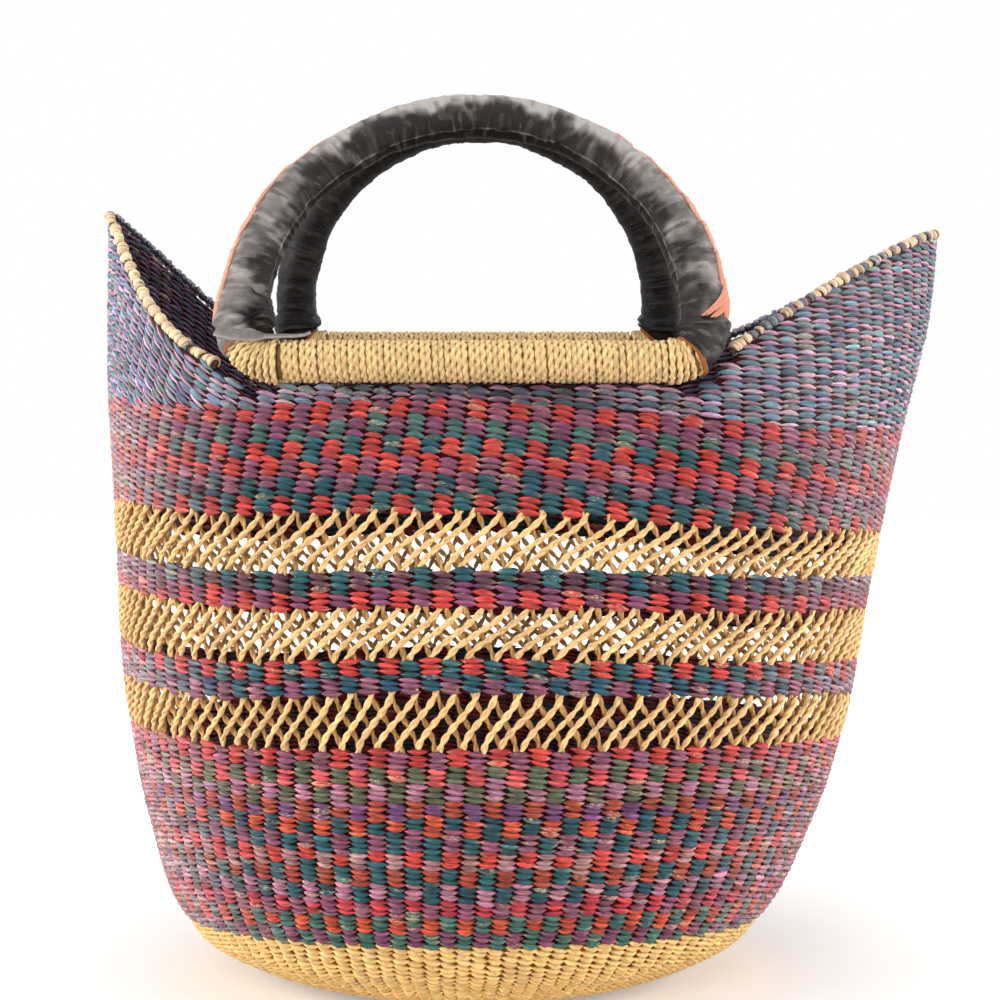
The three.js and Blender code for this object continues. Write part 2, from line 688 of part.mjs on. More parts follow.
// Tail of the lacing that lies along the roll beside the left foot
function thongTail(outward) {
  const lean = radians(TAIL_ANGLE) * outward;
  const up = new THREE.Vector3(0, Math.sin(lean), Math.cos(lean));
  const side = new THREE.Vector3(0, Math.cos(lean), -Math.sin(lean));
  const stops = TAIL_WIDTHS.map((width, i) => {
    const x = TOUCH_GAP - elbowX + (TAIL_LENGTH * i) / (TAIL_WIDTHS.length - 1);
    const at = new THREE.Vector3(x, 0, 0).addScaledVector(up, rollRadius + TOUCH_GAP);
    return { at, side: side.clone().multiplyScalar(width), up };
  });
  const section = [[-0.5, 0], [0.5, 0], [0.5, TAIL_THICKNESS], [-0.5, TAIL_THICKNESS]];
  return sweep(stops, section).geometry();
}

// Sleeve and winding of one rim roll
function rimRoll(name, side) {
  const group = new THREE.Group();
  group.position.set(HANDLE_SHIFT, side.rodY, side.rodHeight);
  group.add(
    piece(`${name}_rim_sleeve`, tubeAlongX(-rollEnd, rollEnd, SLEEVE_RADIUS, boreRadius), straw),
    piece(`${name}_rim_winding`, rimWinding(), straw),
  );
  return group;
}

// One handle, built upright on its bar and then leaned in over the mouth
function handle(name, side, outward) {
  const group = new THREE.Group();
  group.position.set(HANDLE_SHIFT, side.rodY, side.rodHeight);
  group.rotation.x = radians(HANDLE_LEAN) * outward;
  group.add(
    piece(`${name}_handle_bar`, handleRod(), straw),
    piece(`${name}_handle_grip`, grip(), darkLeather),
    piece(`${name}_handle_seam`, seam(), coralThong),
  );
  for (const [hand, sign] of [['left', -1], ['right', 1]]) {
    const from = sign * (rollEnd + RUN_GAP);
    const to = sign * (elbowX - TOUCH_GAP);
    const binding = tubeAlongX(Math.min(from, to), Math.max(from, to), BINDING_RADIUS, boreRadius);
    group.add(
      piece(`${name}_${hand}_collar`, collar(sign), darkLeather),
      piece(`${name}_${hand}_binding`, binding, tanLeather),
    );
  }
  return group;
}

const basket = new THREE.Group();
const [rearRightQuarter, rearLeftQuarter, frontLeftQuarter, frontRightQuarter] = crownQuarters;
const frontHandle = handle('front', frontSide, -1);
frontHandle.add(piece('front_thong_tail', thongTail(-1), darkLeather));
basket.add(
  piece('base_floor', baseFloor(), straw),
  piece('base_side', weaveBand(BASE_EDGE_LEVEL, BASE_TOP, BASE_SIDE_SPANS), straw),
  piece('lower_band', weaveBand(BASE_TOP, LOWER_LATTICE_BOTTOM, LOWER_BAND_SPANS), dyedWeave),
  piece('lower_lattice', lattice(LOWER_LATTICE_BOTTOM, LOWER_LATTICE_TOP), straw),
  piece('lower_stripe', weaveBand(LOWER_LATTICE_TOP, MIDDLE_LATTICE_BOTTOM, 1), dyedWeave),
  piece('middle_lattice', lattice(MIDDLE_LATTICE_BOTTOM, MIDDLE_LATTICE_TOP), straw),
  piece('upper_stripe', weaveBand(MIDDLE_LATTICE_TOP, UPPER_LATTICE_BOTTOM, 1), dyedWeave),
  piece('upper_lattice', lattice(UPPER_LATTICE_BOTTOM, UPPER_LATTICE_TOP), straw),
  piece('upper_band', weaveBand(UPPER_LATTICE_TOP, CROWN_BOTTOM, UPPER_BAND_SPANS), dyedWeave),
  piece('wing_weave', wingWeaveBand(), wingWeave),
  piece('left_wing_edging', wingEdging(frontLeftQuarter, rearLeftQuarter), straw),
  piece('right_wing_edging', wingEdging(frontRightQuarter, rearRightQuarter), straw),
  rimRoll('front', frontSide),
  rimRoll('rear', rearSide),
  frontHandle,
  handle('rear', rearSide, 1),
);

export default basket;
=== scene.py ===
"""A twined straw basket with two raised wings and two leather-bound loop handles.

Every stitch of the weave is a small spindle of straw laid on the curved wall, every cord of the
openwork is twisted from two plies, and the handles are wrapped in creased leather. Lengths are
millimetres until a mesh is made, and metres after that.
"""

import itertools

import bpy
import numpy as np
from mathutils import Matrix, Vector

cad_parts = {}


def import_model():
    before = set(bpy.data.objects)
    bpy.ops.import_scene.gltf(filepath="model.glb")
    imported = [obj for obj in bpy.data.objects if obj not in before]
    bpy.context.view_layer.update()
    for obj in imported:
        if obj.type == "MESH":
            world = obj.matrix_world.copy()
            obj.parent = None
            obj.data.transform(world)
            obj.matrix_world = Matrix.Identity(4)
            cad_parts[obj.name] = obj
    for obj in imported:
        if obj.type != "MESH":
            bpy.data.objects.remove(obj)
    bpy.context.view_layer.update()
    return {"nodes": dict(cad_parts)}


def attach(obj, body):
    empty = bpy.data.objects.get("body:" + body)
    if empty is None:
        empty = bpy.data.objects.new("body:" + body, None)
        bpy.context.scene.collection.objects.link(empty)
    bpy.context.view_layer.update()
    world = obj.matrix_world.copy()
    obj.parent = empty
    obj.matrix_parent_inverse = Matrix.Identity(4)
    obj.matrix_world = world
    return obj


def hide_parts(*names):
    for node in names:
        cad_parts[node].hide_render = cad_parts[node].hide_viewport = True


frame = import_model()

MM = 0.001


def put(name, data):
    """A new object in the scene."""
    item = bpy.data.objects.new(name, data)
    bpy.context.scene.collection.objects.link(item)
    return item


# The camera stands where the photograph was taken from
PHOTO_WIDTH = 1000
FOCAL_PIXELS = 1547
SENSOR_WIDTH = 36
CAMERA_PLACE = (13.7, -850, 253.6)

camera_data = bpy.data.cameras.new("camera")
camera_data.sensor_width = SENSOR_WIDTH
camera_data.lens = SENSOR_WIDTH * FOCAL_PIXELS / PHOTO_WIDTH
camera = put("camera", camera_data)
camera.location = [MM * v for v in CAMERA_PLACE]
camera.rotation_euler = (np.pi / 2, 0, 0)
bpy.context.scene.camera = camera

# Outline of the wall, row by row, with the same sizes as the construction: level, reach to the
# right, left, front and rear, tilt at the right, left and rear, squareness, and point of the tips
STATIONS = np.array([
    (0, 76, 74, 64, 64, 0, 0, 0, 2, 0.5),
    (5, 106, 107, 88, 88, 0, 0, 0, 2, 0.5),
    (16, 133, 135, 104, 104, -2, -2, -1.5, 2.05, 0.5),
    (40, 155.5, 156.5, 118, 118, -8.5, -8.5, -6, 2.1, 0.5),
    (90, 183, 176, 134, 134, -8, -6, -10, 2.2, 0.5),
    (140, 198, 185, 141, 141, -15, -12, -14, 2.3, 0.51),
    (164, 204, 190, 142, 142, -16, -4, -16, 2.4, 0.52),
    (204, 212, 193, 141, 142, -12, 2.5, -18.5, 2.7, 0.55),
    (248, 221, 196, 132, 136, -12.5, 6, -13, 3.3, 0.6),
    (302, 235, 201, 110, 119, -8.8, 10, -11, 4.6, 0.75),
    (360, 250.5, 202.3, 85.6, 101.2, -6, 10, -9.3, 4.45, 0.87),
    (402, 255, 203, 68, 88, -4, 10, -8, 4, 0.95),
])
WALL = 4.6
BASE_TOP = 40.7
LOWER_LATTICE = (139.8, 164.1)
MIDDLE_LATTICE = (180.2, 204.5)
UPPER_LATTICE = (222.4, 248.5)
CROWN_BOTTOM = 302.5

# Crown, rolls and handles
LEFT_TIP_HEIGHT = 408
RIGHT_TIP_HEIGHT = 397
FRONT_ROD_HEIGHT = 320.3
REAR_ROD_HEIGHT = 347
HANDLE_SHIFT = 0.8
HANDLE_LEAN = np.radians(18)
ARCH_RADIUS = 111.5
ARCH_CENTRE = 23.5
ELBOW_RADIUS = 15
COLLAR_REACH = 13
ROLL_RADIUS = 10.52
ROLL_END = 93.5
TOUCH_GAP = 0.3
FOOT_CLEARANCE = 1.8
ELBOW_X = ARCH_RADIUS - ELBOW_RADIUS

# Places round the wall, in quarter turns from the right tip
RIGHT, REAR, LEFT, FRONT, FULL_TURN = 0, 1, 2, 3, 4

random = np.random.default_rng(28)


def linear(code):
    """Linear colour of a six-digit colour code."""
    share = np.array([int(code[i:i + 2], 16) for i in (0, 2, 4)]) / 255
    return np.where(share < 0.04045, share / 12.92, ((share + 0.055) / 1.055) ** 2.4)


def smooth_step(low, high, value):
    part = np.clip((value - low) / (high - low), 0, 1)
    return part * part * (3 - 2 * part)


def unit(vectors):
    return vectors / np.maximum(np.linalg.norm(vectors, axis=-1, keepdims=True), 1e-9)


def circle(count):
    """Angles at equal steps round a full circle."""
    return 2 * np.pi * np.arange(count) / count


def span(angles, first, second):
    """Directions at some angles in the plane of two others."""
    return np.cos(angles)[..., None] * first + np.sin(angles)[..., None] * second


def stacked(*parts):
    """Vectors from components that broadcast against each other."""
    return np.stack(np.broadcast_arrays(*parts), -1)


def lengths_along(lines):
    """Length along each line up to each of its points."""
    steps = np.linalg.norm(np.diff(lines, axis=-2), axis=-1)
    return np.concatenate([np.zeros_like(steps[..., :1]), np.cumsum(steps, axis=-1)], axis=-1)


def resampled(places, knots, points):
    """Points interpolated at some places between the knots."""
    return np.stack([np.interp(places, knots, axis) for axis in points.T], -1)


def from_tip(turn, tip):
    """How far a turn lies from a wing's tip."""
    return np.abs((turn - tip + 2) % FULL_TURN - 2)


def varied(spread, shape=None):
    """Random factors round one."""
    return np.exp(random.normal(0, spread, shape))


def noise(points, seed):
    """Smooth random value from -1 to 1 at every point, with a grain of one unit."""
    cell = np.floor(points).astype(np.int64)
    part = points - cell
    part = part * part * (3 - 2 * part)
    total = 0
    for corner in itertools.product((0, 1), repeat=3):
        x, y, z = np.moveaxis(cell + corner, -1, 0)
        mixed = (x * 73856093) ^ (y * 19349663) ^ (z * 83492791) ^ (seed * 26544357)
        mixed = ((mixed ^ (mixed >> 13)) * 1274126177) & 0xFFFFFFFF
        value = ((mixed ^ (mixed >> 16)) & 0xFFFF) / 32767.5 - 1
        total = total + value * np.prod(np.where(np.array(corner) == 1, part, 1 - part), axis=-1)
    return total


def wander(places, rate, seed):
    """Smooth random value from -1 to 1 along a line."""
    return noise(stacked(places * rate, 0, 0), seed)


# The wall as a table of points, one row for each millimetre of level. Levels under zero are the
# flat underside, which shrinks towards its middle.
LOWEST_LEVEL = -76
HIGHEST_LEVEL = 430
QUARTER_STEPS = 120
FINE_STEPS = 240
NORMAL_STEP = 2


def through_stations(levels):
    """Sizes of the rows at some levels, on a smooth curve through the stations."""
    knots, values = STATIONS[:, 0], STATIONS[:, 1:]
    spans = np.diff(knots)
    between = np.diff(values, axis=0) / spans[:, None]
    slopes = np.vstack([between[:1], np.zeros((len(spans) - 1, values.shape[1])), between[-1:]])
    before, after = spans[:-1, None], spans[1:, None]
    slopes[1:-1] = (between[:-1] * after + between[1:] * before) / (before + after)
    i = np.clip(np.searchsorted(knots, levels) - 1, 0, len(spans) - 1)
    t = ((levels - knots[i]) / spans[i])[:, None]
    span = spans[i][:, None]
    return (
        (2 * t**3 - 3 * t**2 + 1) * values[i]
        + (3 * t**2 - 2 * t**3) * values[i + 1]
        + (t**3 - 2 * t**2 + t) * span * slopes[i]
        + (t**3 - t**2) * span * slopes[i + 1]
    )


def outline(rows, levels):
    """Points of each row at equal steps of length within each quarter, starting at the right tip."""
    angle = np.linspace(0, 2 * np.pi, 4 * FINE_STEPS + 1)
    c, s = np.cos(angle), np.sin(angle)
    right, left, front, rear, right_tilt, left_tilt, rear_tilt, square, point = rows.T[:, :, None]
    x = np.where(c > 0, right, -left) * np.abs(c) ** (2 / square)
    y = np.where(s > 0, rear, -front) * np.abs(s) ** (2 * point)
    mean = (right_tilt + left_tilt + rear_tilt) / 4
    swing = ((right_tilt - left_tilt) * c + rear_tilt * s) / 2
    saddle = (right_tilt + left_tilt - rear_tilt) * np.cos(2 * angle) / 4
    fine = np.stack([x, y, levels[:, None] + mean + swing + saddle], -1)
    table = np.empty((len(levels), 4 * QUARTER_STEPS, 3))
    for row, quarter in itertools.product(range(len(levels)), range(4)):
        part = fine[row, quarter * FINE_STEPS:(quarter + 1) * FINE_STEPS + 1]
        lengths = lengths_along(part)
        wanted = np.arange(QUARTER_STEPS) / QUARTER_STEPS * lengths[-1]
        columns = slice(quarter * QUARTER_STEPS, (quarter + 1) * QUARTER_STEPS)
        table[row, columns] = resampled(wanted, lengths, part)
    return table


def wall_tables():
    """Points and outward normals of the wall, and how many millimetres a turn and a level take."""
    levels = np.arange(0, HIGHEST_LEVEL + 1.0)
    side = outline(through_stations(levels), levels)
    shrink = 1 + np.arange(LOWEST_LEVEL, 0)[:, None, None] / -LOWEST_LEVEL
    points = np.concatenate([side[:1] * shrink, side])
    turn_step = 2 * NORMAL_STEP / QUARTER_STEPS
    along = (np.roll(points, -NORMAL_STEP, axis=1) - np.roll(points, NORMAL_STEP, axis=1)) / turn_step
    up = np.gradient(points, axis=0)
    normals = unit(np.cross(along, up))
    normals[0] = (0, 0, -1)
    stretch = np.stack([np.linalg.norm(along, axis=-1), np.linalg.norm(up, axis=-1)], -1)
    return points, normals, stretch


wall_points, wall_normals, wall_stretch = wall_tables()


def between(table, row, above, turn):
    """Value of a table of the turns, a share of the way from one row to the next."""
    u = np.mod(turn, FULL_TURN) * QUARTER_STEPS
    i = np.floor(u).astype(int)
    across = u - i
    if table.ndim > 2:
        across, above = across[..., None], above[..., None]
    i, after = i % table.shape[1], (i + 1) % table.shape[1]
    low = table[row, i] * (1 - across) + table[row, after] * across
    high = table[row + 1, i] * (1 - across) + table[row + 1, after] * across
    return low * (1 - above) + high * above


def look_up(table, turn, level):
    """Value of a wall table at any turn and level."""
    v = np.clip(level - LOWEST_LEVEL, 0, len(table) - 1.001)
    j = np.floor(v).astype(int)
    return between(table, j, v - j, turn)


def wall_at(turn, level, depth):
    """Points in the wall at a depth under its outside."""
    turn, level, depth = np.broadcast_arrays(turn, level, depth)
    normals = unit(look_up(wall_normals, turn, level))
    return look_up(wall_points, turn, level) - normals * depth[..., None]


def level_at_height(height):
    """Level at which the wall reaches a height, at each turn of the tables."""
    crown = slice(int(CROWN_BOTTOM) - LOWEST_LEVEL - 20, None)
    levels = np.arange(LOWEST_LEVEL, HIGHEST_LEVEL + 1)[crown]
    heights = wall_points[crown, :, 2]
    height = np.broadcast_to(height, heights.shape[1])
    return np.array([np.interp(h, column, levels) for h, column in zip(height, heights.T)])


TABLE_TURNS = np.arange(FULL_TURN * QUARTER_STEPS) / QUARTER_STEPS


# The seams between the bands wander. Each row is a turn, and how far every seam over the base lies
# above its even level there, from the lowest seam to the crown's.
SEAM_LEVELS = np.array([BASE_TOP, *LOWER_LATTICE, *MIDDLE_LATTICE, *UPPER_LATTICE, CROWN_BOTTOM])
SEAM_SHIFTS = np.array([
    (0.0, 1.5, 1, 1.5, 1.5, 1.5, -1, -5),
    (0.1, 4, 0, -1, -4, -4, -8, -4),
    (0.2, 6, -1, -3, -9, -8, -12.5, -3),
    (0.3, 8, -2, -5.5, -11, -10, -14, -2),
    (0.45, 8, -2.5, -5.5, -10.5, -9, -12.5, -1),
    (0.6, 7, -3, -5.5, -6.5, -6, -7.5, 0),
    (0.75, 7, -3, -3.5, -5, -5.5, -3.5, 0),
    (0.9, 6.5, -3, -3, -5, -5.5, -2, 0),
    (1.0, 6, -3, -3, -5, -5.5, -1, 0),
    (1.1, 6.3, -3, -3.5, -5, -5.5, -1.5, 0),
    (1.25, 6.5, -4, -6.5, -6, -6, -5, 0),
    (1.4, 6.5, -6.5, -10, -8.5, -7.5, -9.5, 0),
    (1.55, 6.5, -6.5, -10.5, -11, -9, -13, 0),
    (1.7, 6, -4.5, -8, -11.5, -9.5, -14.5, -1),
    (1.85, 5.5, -1.5, -4, -8, -7, -11.5, -2),
    (2.0, 5, 1, 1, 2, 1, -1, -3.4),
    (2.2, 5.5, 0.5, -1, 1, -1.5, -1.6, -5),
    (2.3, 3.6, -2.5, -4.5, -2.5, -4, -3, -6.2),
    (2.4, 1.8, -4.4, -5, -3.2, -5.2, -5.6, -7.4),
    (2.5, -0.4, -5.8, -5.6, -4.4, -6.6, -5.7, -7.2),
    (2.6, -1.8, -5.4, -6.2, -5, -6, -4.8, -6),
    (2.7, -2.3, -3.2, -3.6, -5, -5, -3.4, -2.5),
    (2.8, -2.2, -0.4, -1.4, -1.6, -2.4, -0.6, -1),
    (2.9, -1.5, 0.8, 0, 0, -1.2, 0, -0.3),
    (3.0, -1.4, 0.9, 0.5, 0, -0.5, 0, 0),
    (3.1, -1.4, 0.9, 0.4, 0, -0.5, -0.4, -2.7),
    (3.2, -1.4, 0.8, 0.3, 0, -0.5, -1, -4.3),
    (3.3, -0.3, 1.2, 0, 0.5, -0.6, -3.2, -6),
    (3.4, -0.2, 1, 0, -0.5, -0.9, -4.6, -8.2),
    (3.5, 0.6, 1.6, 0.4, -0.1, -1, -4.3, -9.8),
    (3.6, 1.5, 2.4, 0.8, 0.3, -1, -4, -10.4),
    (3.7, 2, 2.5, 0.8, 0.5, -1.4, -3.5, -8.4),
    (3.8, 2, 2.1, 1.5, 2, 0, -1.6, -5.8),
])
SMOOTHING_ROUNDS = 10
SMOOTHING_REACH = 3


def seam_table():
    """Shifts of the base's top and the seams at each turn of the tables, smoothed."""
    rows = [np.zeros(len(TABLE_TURNS))]
    for shifts in SEAM_SHIFTS.T[1:]:
        rows.append(np.interp(TABLE_TURNS, SEAM_SHIFTS[:, 0], shifts, period=FULL_TURN))
    table = np.stack(rows)
    for _ in range(SMOOTHING_ROUNDS):
        before, after = (np.roll(table, way * SMOOTHING_REACH, axis=1) for way in (1, -1))
        table = (before + table + after) / 3
    return table


seam_shifts = seam_table()


def settled(turn, level):
    """Level at which a row of an even level really lies at a turn."""
    turn, level = np.broadcast_arrays(turn, level)
    j = np.clip(np.searchsorted(SEAM_LEVELS, level) - 1, 0, len(SEAM_LEVELS) - 2)
    up = np.clip((level - SEAM_LEVELS[j]) / (SEAM_LEVELS[j + 1] - SEAM_LEVELS[j]), 0, 1)
    return level + between(seam_shifts, j, up, turn)


class Side:
    """Front or rear: its roll, and where the bar in it lies."""

    def __init__(self, name, centre, rod_height, outward):
        self.name, self.rod_height, self.outward = name, rod_height, outward
        self.body = f"{name}_handle"
        self.seat_height = rod_height - ROLL_RADIUS - TOUCH_GAP
        seat_level = level_at_height(self.seat_height)[centre * QUARTER_STEPS]
        self.rod_y = wall_at(centre, seat_level, WALL / 2)[1]
        x = look_up(wall_points, TABLE_TURNS, seat_level)[:, 0]
        self.from_middle = np.abs(x - HANDLE_SHIFT)

    def place(self, points, hand=1):
        """Turns points of an upright handle, or of its mirror image, into its leaning place."""
        lean = HANDLE_LEAN * self.outward
        x, y, z = np.moveaxis(points, -1, 0)
        return np.stack([
            hand * x + HANDLE_SHIFT,
            y * np.cos(lean) - z * np.sin(lean) + self.rod_y,
            y * np.sin(lean) + z * np.cos(lean) + self.rod_height,
        ], -1)


front_side = Side("front", FRONT, FRONT_ROD_HEIGHT, -1)
rear_side = Side("rear", REAR, REAR_ROD_HEIGHT, 1)


def foot_underside(x):
    """Height of a foot's underside above the bar, at a distance from the handle's middle."""
    beyond = np.clip(x - ELBOW_X, 0, None)
    reach = ELBOW_RADIUS + COLLAR_REACH
    inside = np.sqrt(np.clip(reach**2 - beyond**2, 0, None))
    return np.where(beyond < reach, ELBOW_RADIUS - inside, np.inf)


def crown_quarter(side, tip, tip_height, foot_height, ease, bend):
    """Height of the crown at each turn of the tables, for the quarter from a wing's tip to a roll.

    foot_height is its height beside the handle's foot, and ease and bend shape the climb.
    """
    share = from_tip(TABLE_TURNS, tip)
    inside = np.flatnonzero(share <= 1)
    order = inside[np.argsort(-side.from_middle[inside])]
    foot_share = np.interp(-ARCH_RADIUS, -side.from_middle[order], share[order])
    x = side.from_middle
    limit = side.rod_height + foot_underside(x) - FOOT_CLEARANCE
    climb = np.clip(1 - share / foot_share, 0, 1)
    rise = (1 - (1 - climb) ** ease) ** bend
    wing = np.minimum(foot_height + (tip_height - foot_height) * rise, limit)
    ramp = side.seat_height + (foot_height - side.seat_height) * (x - ELBOW_X) / ELBOW_RADIUS
    foot = np.maximum(side.seat_height - FOOT_CLEARANCE, np.minimum(ramp, limit))
    return np.where(share < foot_share, wing, np.where(x <= ELBOW_X, side.seat_height, foot))


def crown_levels():
    """Level of the crown's top at each turn of the tables."""
    quarter = np.floor(TABLE_TURNS).astype(int)
    heights = np.choose(quarter, [
        crown_quarter(rear_side, RIGHT, RIGHT_TIP_HEIGHT, 336, 1.2, 1.05),
        crown_quarter(rear_side, LEFT, LEFT_TIP_HEIGHT, 338, 1.3, 1.2),
        crown_quarter(front_side, LEFT, LEFT_TIP_HEIGHT, 314, 1, 1.36),
        crown_quarter(front_side, RIGHT, RIGHT_TIP_HEIGHT, 312.5, 1.3, 0.88),
    ])
    return level_at_height(heights)


crown_table = crown_levels()


def crown_at(turn):
    """Level of the top of the wall at any turn."""
    return np.interp(np.mod(turn, FULL_TURN), TABLE_TURNS, crown_table, period=FULL_TURN)


class Shapes:
    """Closed shapes gathered into one mesh, with their paint and the run of their fibres."""

    def __init__(self):
        self.count = 0
        self.points, self.faces, self.dyes, self.fibres = [], {3: [], 4: []}, [], []

    def add(self, points, faces, dye, fibre):
        """points (n, 3), faces a list of index arrays, dye (n, 4), fibre (n, 3)."""
        volume = 0
        for face in faces:
            corner = points[face]
            for k in range(1, face.shape[1] - 1):
                volume += np.sum(corner[:, 0] * np.cross(corner[:, k], corner[:, k + 1]))
        for face in faces:
            ordered = face[:, ::-1] if volume < 0 else face
            self.faces[face.shape[1]].append(ordered + self.count)
        self.count += len(points)
        self.points.append(points)
        self.dyes.append(np.broadcast_to(dye, (len(points), 4)))
        self.fibres.append(fibre)

    def copies(self, points, template, dye, fibre):
        """Many copies (m, n, 3) of one closed shape whose faces the template lists."""
        many, size = points.shape[:2]
        start = np.arange(many)[:, None, None] * size
        faces = [(face[None] + start).reshape(-1, face.shape[1]) for face in template]
        dye = np.broadcast_to(dye, (many, size, 4)).reshape(-1, 4)
        self.add(points.reshape(-1, 3), faces, dye, fibre.reshape(-1, 3))

    def tubes(self, rings, dye, fibre):
        """Closed tubes (m, stops, sides, 3). dye broadcasts to (m, stops, sides, 4)."""
        many, stops, sides = rings.shape[:3]
        index = np.arange(stops * sides).reshape(stops, sides)
        after = np.roll(index, -1, axis=1)
        walls = np.stack([index[:-1], after[:-1], after[1:], index[1:]], -1).reshape(-1, 4)
        fan = np.arange(1, sides - 1)
        first = np.stack([np.zeros_like(fan), fan + 1, fan], -1)
        last = np.stack([np.zeros_like(fan), fan, fan + 1], -1) + (stops - 1) * sides
        size = stops * sides
        dye = np.broadcast_to(dye, (many, stops, sides, 4)).reshape(many, size, 4)
        self.copies(rings.reshape(many, size, 3), [walls, first, last], dye,
                    fibre.reshape(many, size, 3))

    def band(self, rings, dye):
        """A closed shell through rings (k, n, 3) that close on themselves, first to last to first."""
        k, n = rings.shape[:2]
        index = np.arange(k * n).reshape(k, n)
        below = np.roll(index, -1, axis=0)
        quads = np.stack([index, np.roll(index, -1, 1), np.roll(below, -1, 1), below], -1)
        fibre = stacked(np.arange(n) * 2.0, np.arange(k)[:, None] * 3.0, 0.0)
        self.add(rings.reshape(-1, 3), [quads.reshape(-1, 4)], dye, fibre.reshape(-1, 3))

    def build(self, name, material, body, nodes=()):
        """Makes the object, which rides on a body and stands in for some CAD nodes."""
        mesh = bpy.data.meshes.new(name)
        points = np.concatenate(self.points) * MM
        mesh.vertices.add(len(points))
        mesh.vertices.foreach_set("co", points.astype(np.float32).ravel())
        faces = [np.concatenate(f) for f in self.faces.values() if f]
        loops = np.concatenate([f.ravel() for f in faces])
        sizes = np.concatenate([np.full(len(f), f.shape[1]) for f in faces])
        mesh.loops.add(len(loops))
        mesh.loops.foreach_set("vertex_index", loops.astype(np.int32))
        mesh.polygons.add(len(sizes))
        mesh.polygons.foreach_set("loop_start", (np.cumsum(sizes) - sizes).astype(np.int32))
        mesh.polygons.foreach_set("use_smooth", np.ones(len(sizes), bool))
        mesh.update(calc_edges=True)
        for label, kind, key, parts in (("dye", "FLOAT_COLOR", "color", self.dyes),
                                        ("fibre", "FLOAT_VECTOR", "vector", self.fibres)):
            layer = mesh.attributes.new(label, kind, "POINT")
            layer.data.foreach_set(key, np.concatenate(parts).astype(np.float32).ravel())
        mesh.materials.append(material)
        piece = put(name, mesh)
        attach(piece, body)
        if nodes:
            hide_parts(*nodes)


# Materials. A mesh's dye is its colour, with painted light and shade in it, with one more value as alpha,
# and its fibre says how far a point lies along and across its strand, with a number of the strand's own.

NOISE_RANGE = (0.3, 0.7)


def opaque(code):
    return (*linear(code), 1)


class Nodes:
    """The node tree of a material or a world, with short calls for its parts."""

    def __init__(self, owner, output="ShaderNodeOutputMaterial"):
        owner.use_nodes = True
        self.owner, self.tree = owner, owner.node_tree
        self.tree.nodes.clear()
        self.output = self.add(output)

    def add(self, kind, inputs=None, **settings):
        node = self.tree.nodes.new(kind)
        for key, value in settings.items():
            setattr(node, key, value)
        self.feed(node, inputs or {})
        return node

    def feed(self, node, inputs):
        """Gives inputs of a node their values, or links them."""
        for key, value in inputs.items():
            socket = node.inputs[key]
            if isinstance(value, bpy.types.NodeSocket):
                self.tree.links.new(value, socket)
            else:
                socket.default_value = value

    def maths(self, operation, *values, clamp=False):
        inputs = dict(enumerate(values))
        return self.add("ShaderNodeMath", inputs, operation=operation, use_clamp=clamp).outputs[0]

    def noise(self, vector, factors, detail=2.0, roughness=0.5):
        """Noise with a grain that is finer the larger a direction's factor is."""
        scaled = self.add("ShaderNodeVectorMath", {0: vector, 1: factors}, operation="MULTIPLY")
        inputs = {"Vector": scaled.outputs[0], "Scale": 1, "Detail": detail, "Roughness": roughness}
        return self.add("ShaderNodeTexNoise", inputs).outputs["Fac"]

    def ramp(self, value, low, high, start=0.0, end=1.0):
        inputs = dict(enumerate((value, low, high, start, end)))
        return self.add("ShaderNodeMapRange", inputs, interpolation_type="SMOOTHSTEP").outputs[0]

    def blend(self, share, a, b, kind="MIX"):
        inputs = {0: share, 6: a, 7: b}
        return self.add("ShaderNodeMix", inputs, data_type="RGBA", blend_type=kind).outputs[2]

    def attribute(self, name):
        return self.add("ShaderNodeAttribute", attribute_name=name).outputs

    def surface(self, colour, roughness, height, distance, **fixed):
        """Finishes a material, whose bumps are some millimetres high."""
        bump = self.add("ShaderNodeBump", {"Strength": 1, "Distance": distance * MM, "Height": height})
        inputs = {"Base Color": colour, "Roughness": roughness, "Normal": bump.outputs[0], **fixed}
        shader = self.add("ShaderNodeBsdfPrincipled", inputs)
        self.feed(self.output, {"Surface": shader.outputs[0]})
        return self.owner


def straw_material(name, streak, pale):
    """Straw with fibres along each strand. dye's alpha says how much of a stitch is undyed."""
    nodes = Nodes(bpy.data.materials.new(name))
    dye, run = nodes.attribute("dye"), nodes.attribute("fibre")["Vector"]
    fine = nodes.noise(run, (0.16, 2.0, 7.3), 3)
    broad = nodes.noise(run, (0.25, 0.8, 3.1), 1)
    marks = nodes.noise(run, (0.45, 2.4, 11.7), 2, 0.6)
    shade = nodes.maths("MULTIPLY", nodes.ramp(fine, *NOISE_RANGE, 1 - streak, 1 + streak),
                        nodes.ramp(broad, *NOISE_RANGE, 0.8, 1.18))
    grey = nodes.add("ShaderNodeCombineColor", {0: shade, 1: shade, 2: shade})
    colour = nodes.blend(1.0, dye["Color"], grey.outputs[0], "MULTIPLY")
    reach = nodes.maths("SUBTRACT", 0.76, nodes.maths("MULTIPLY", dye["Alpha"], 0.26))
    undyed = nodes.ramp(nodes.maths("SUBTRACT", marks, reach), 0.0, 0.05)
    colour = nodes.blend(nodes.maths("MULTIPLY", undyed, 0.7), colour, opaque(pale))
    height = nodes.maths("ADD", fine, nodes.maths("MULTIPLY", broad, 0.6))
    return nodes.surface(colour, nodes.ramp(fine, *NOISE_RANGE, 0.72, 0.5), height, 0.35, **{
        "Sheen Weight": 0.05, "Sheen Roughness": 0.4, "Specular IOR Level": 0.25})


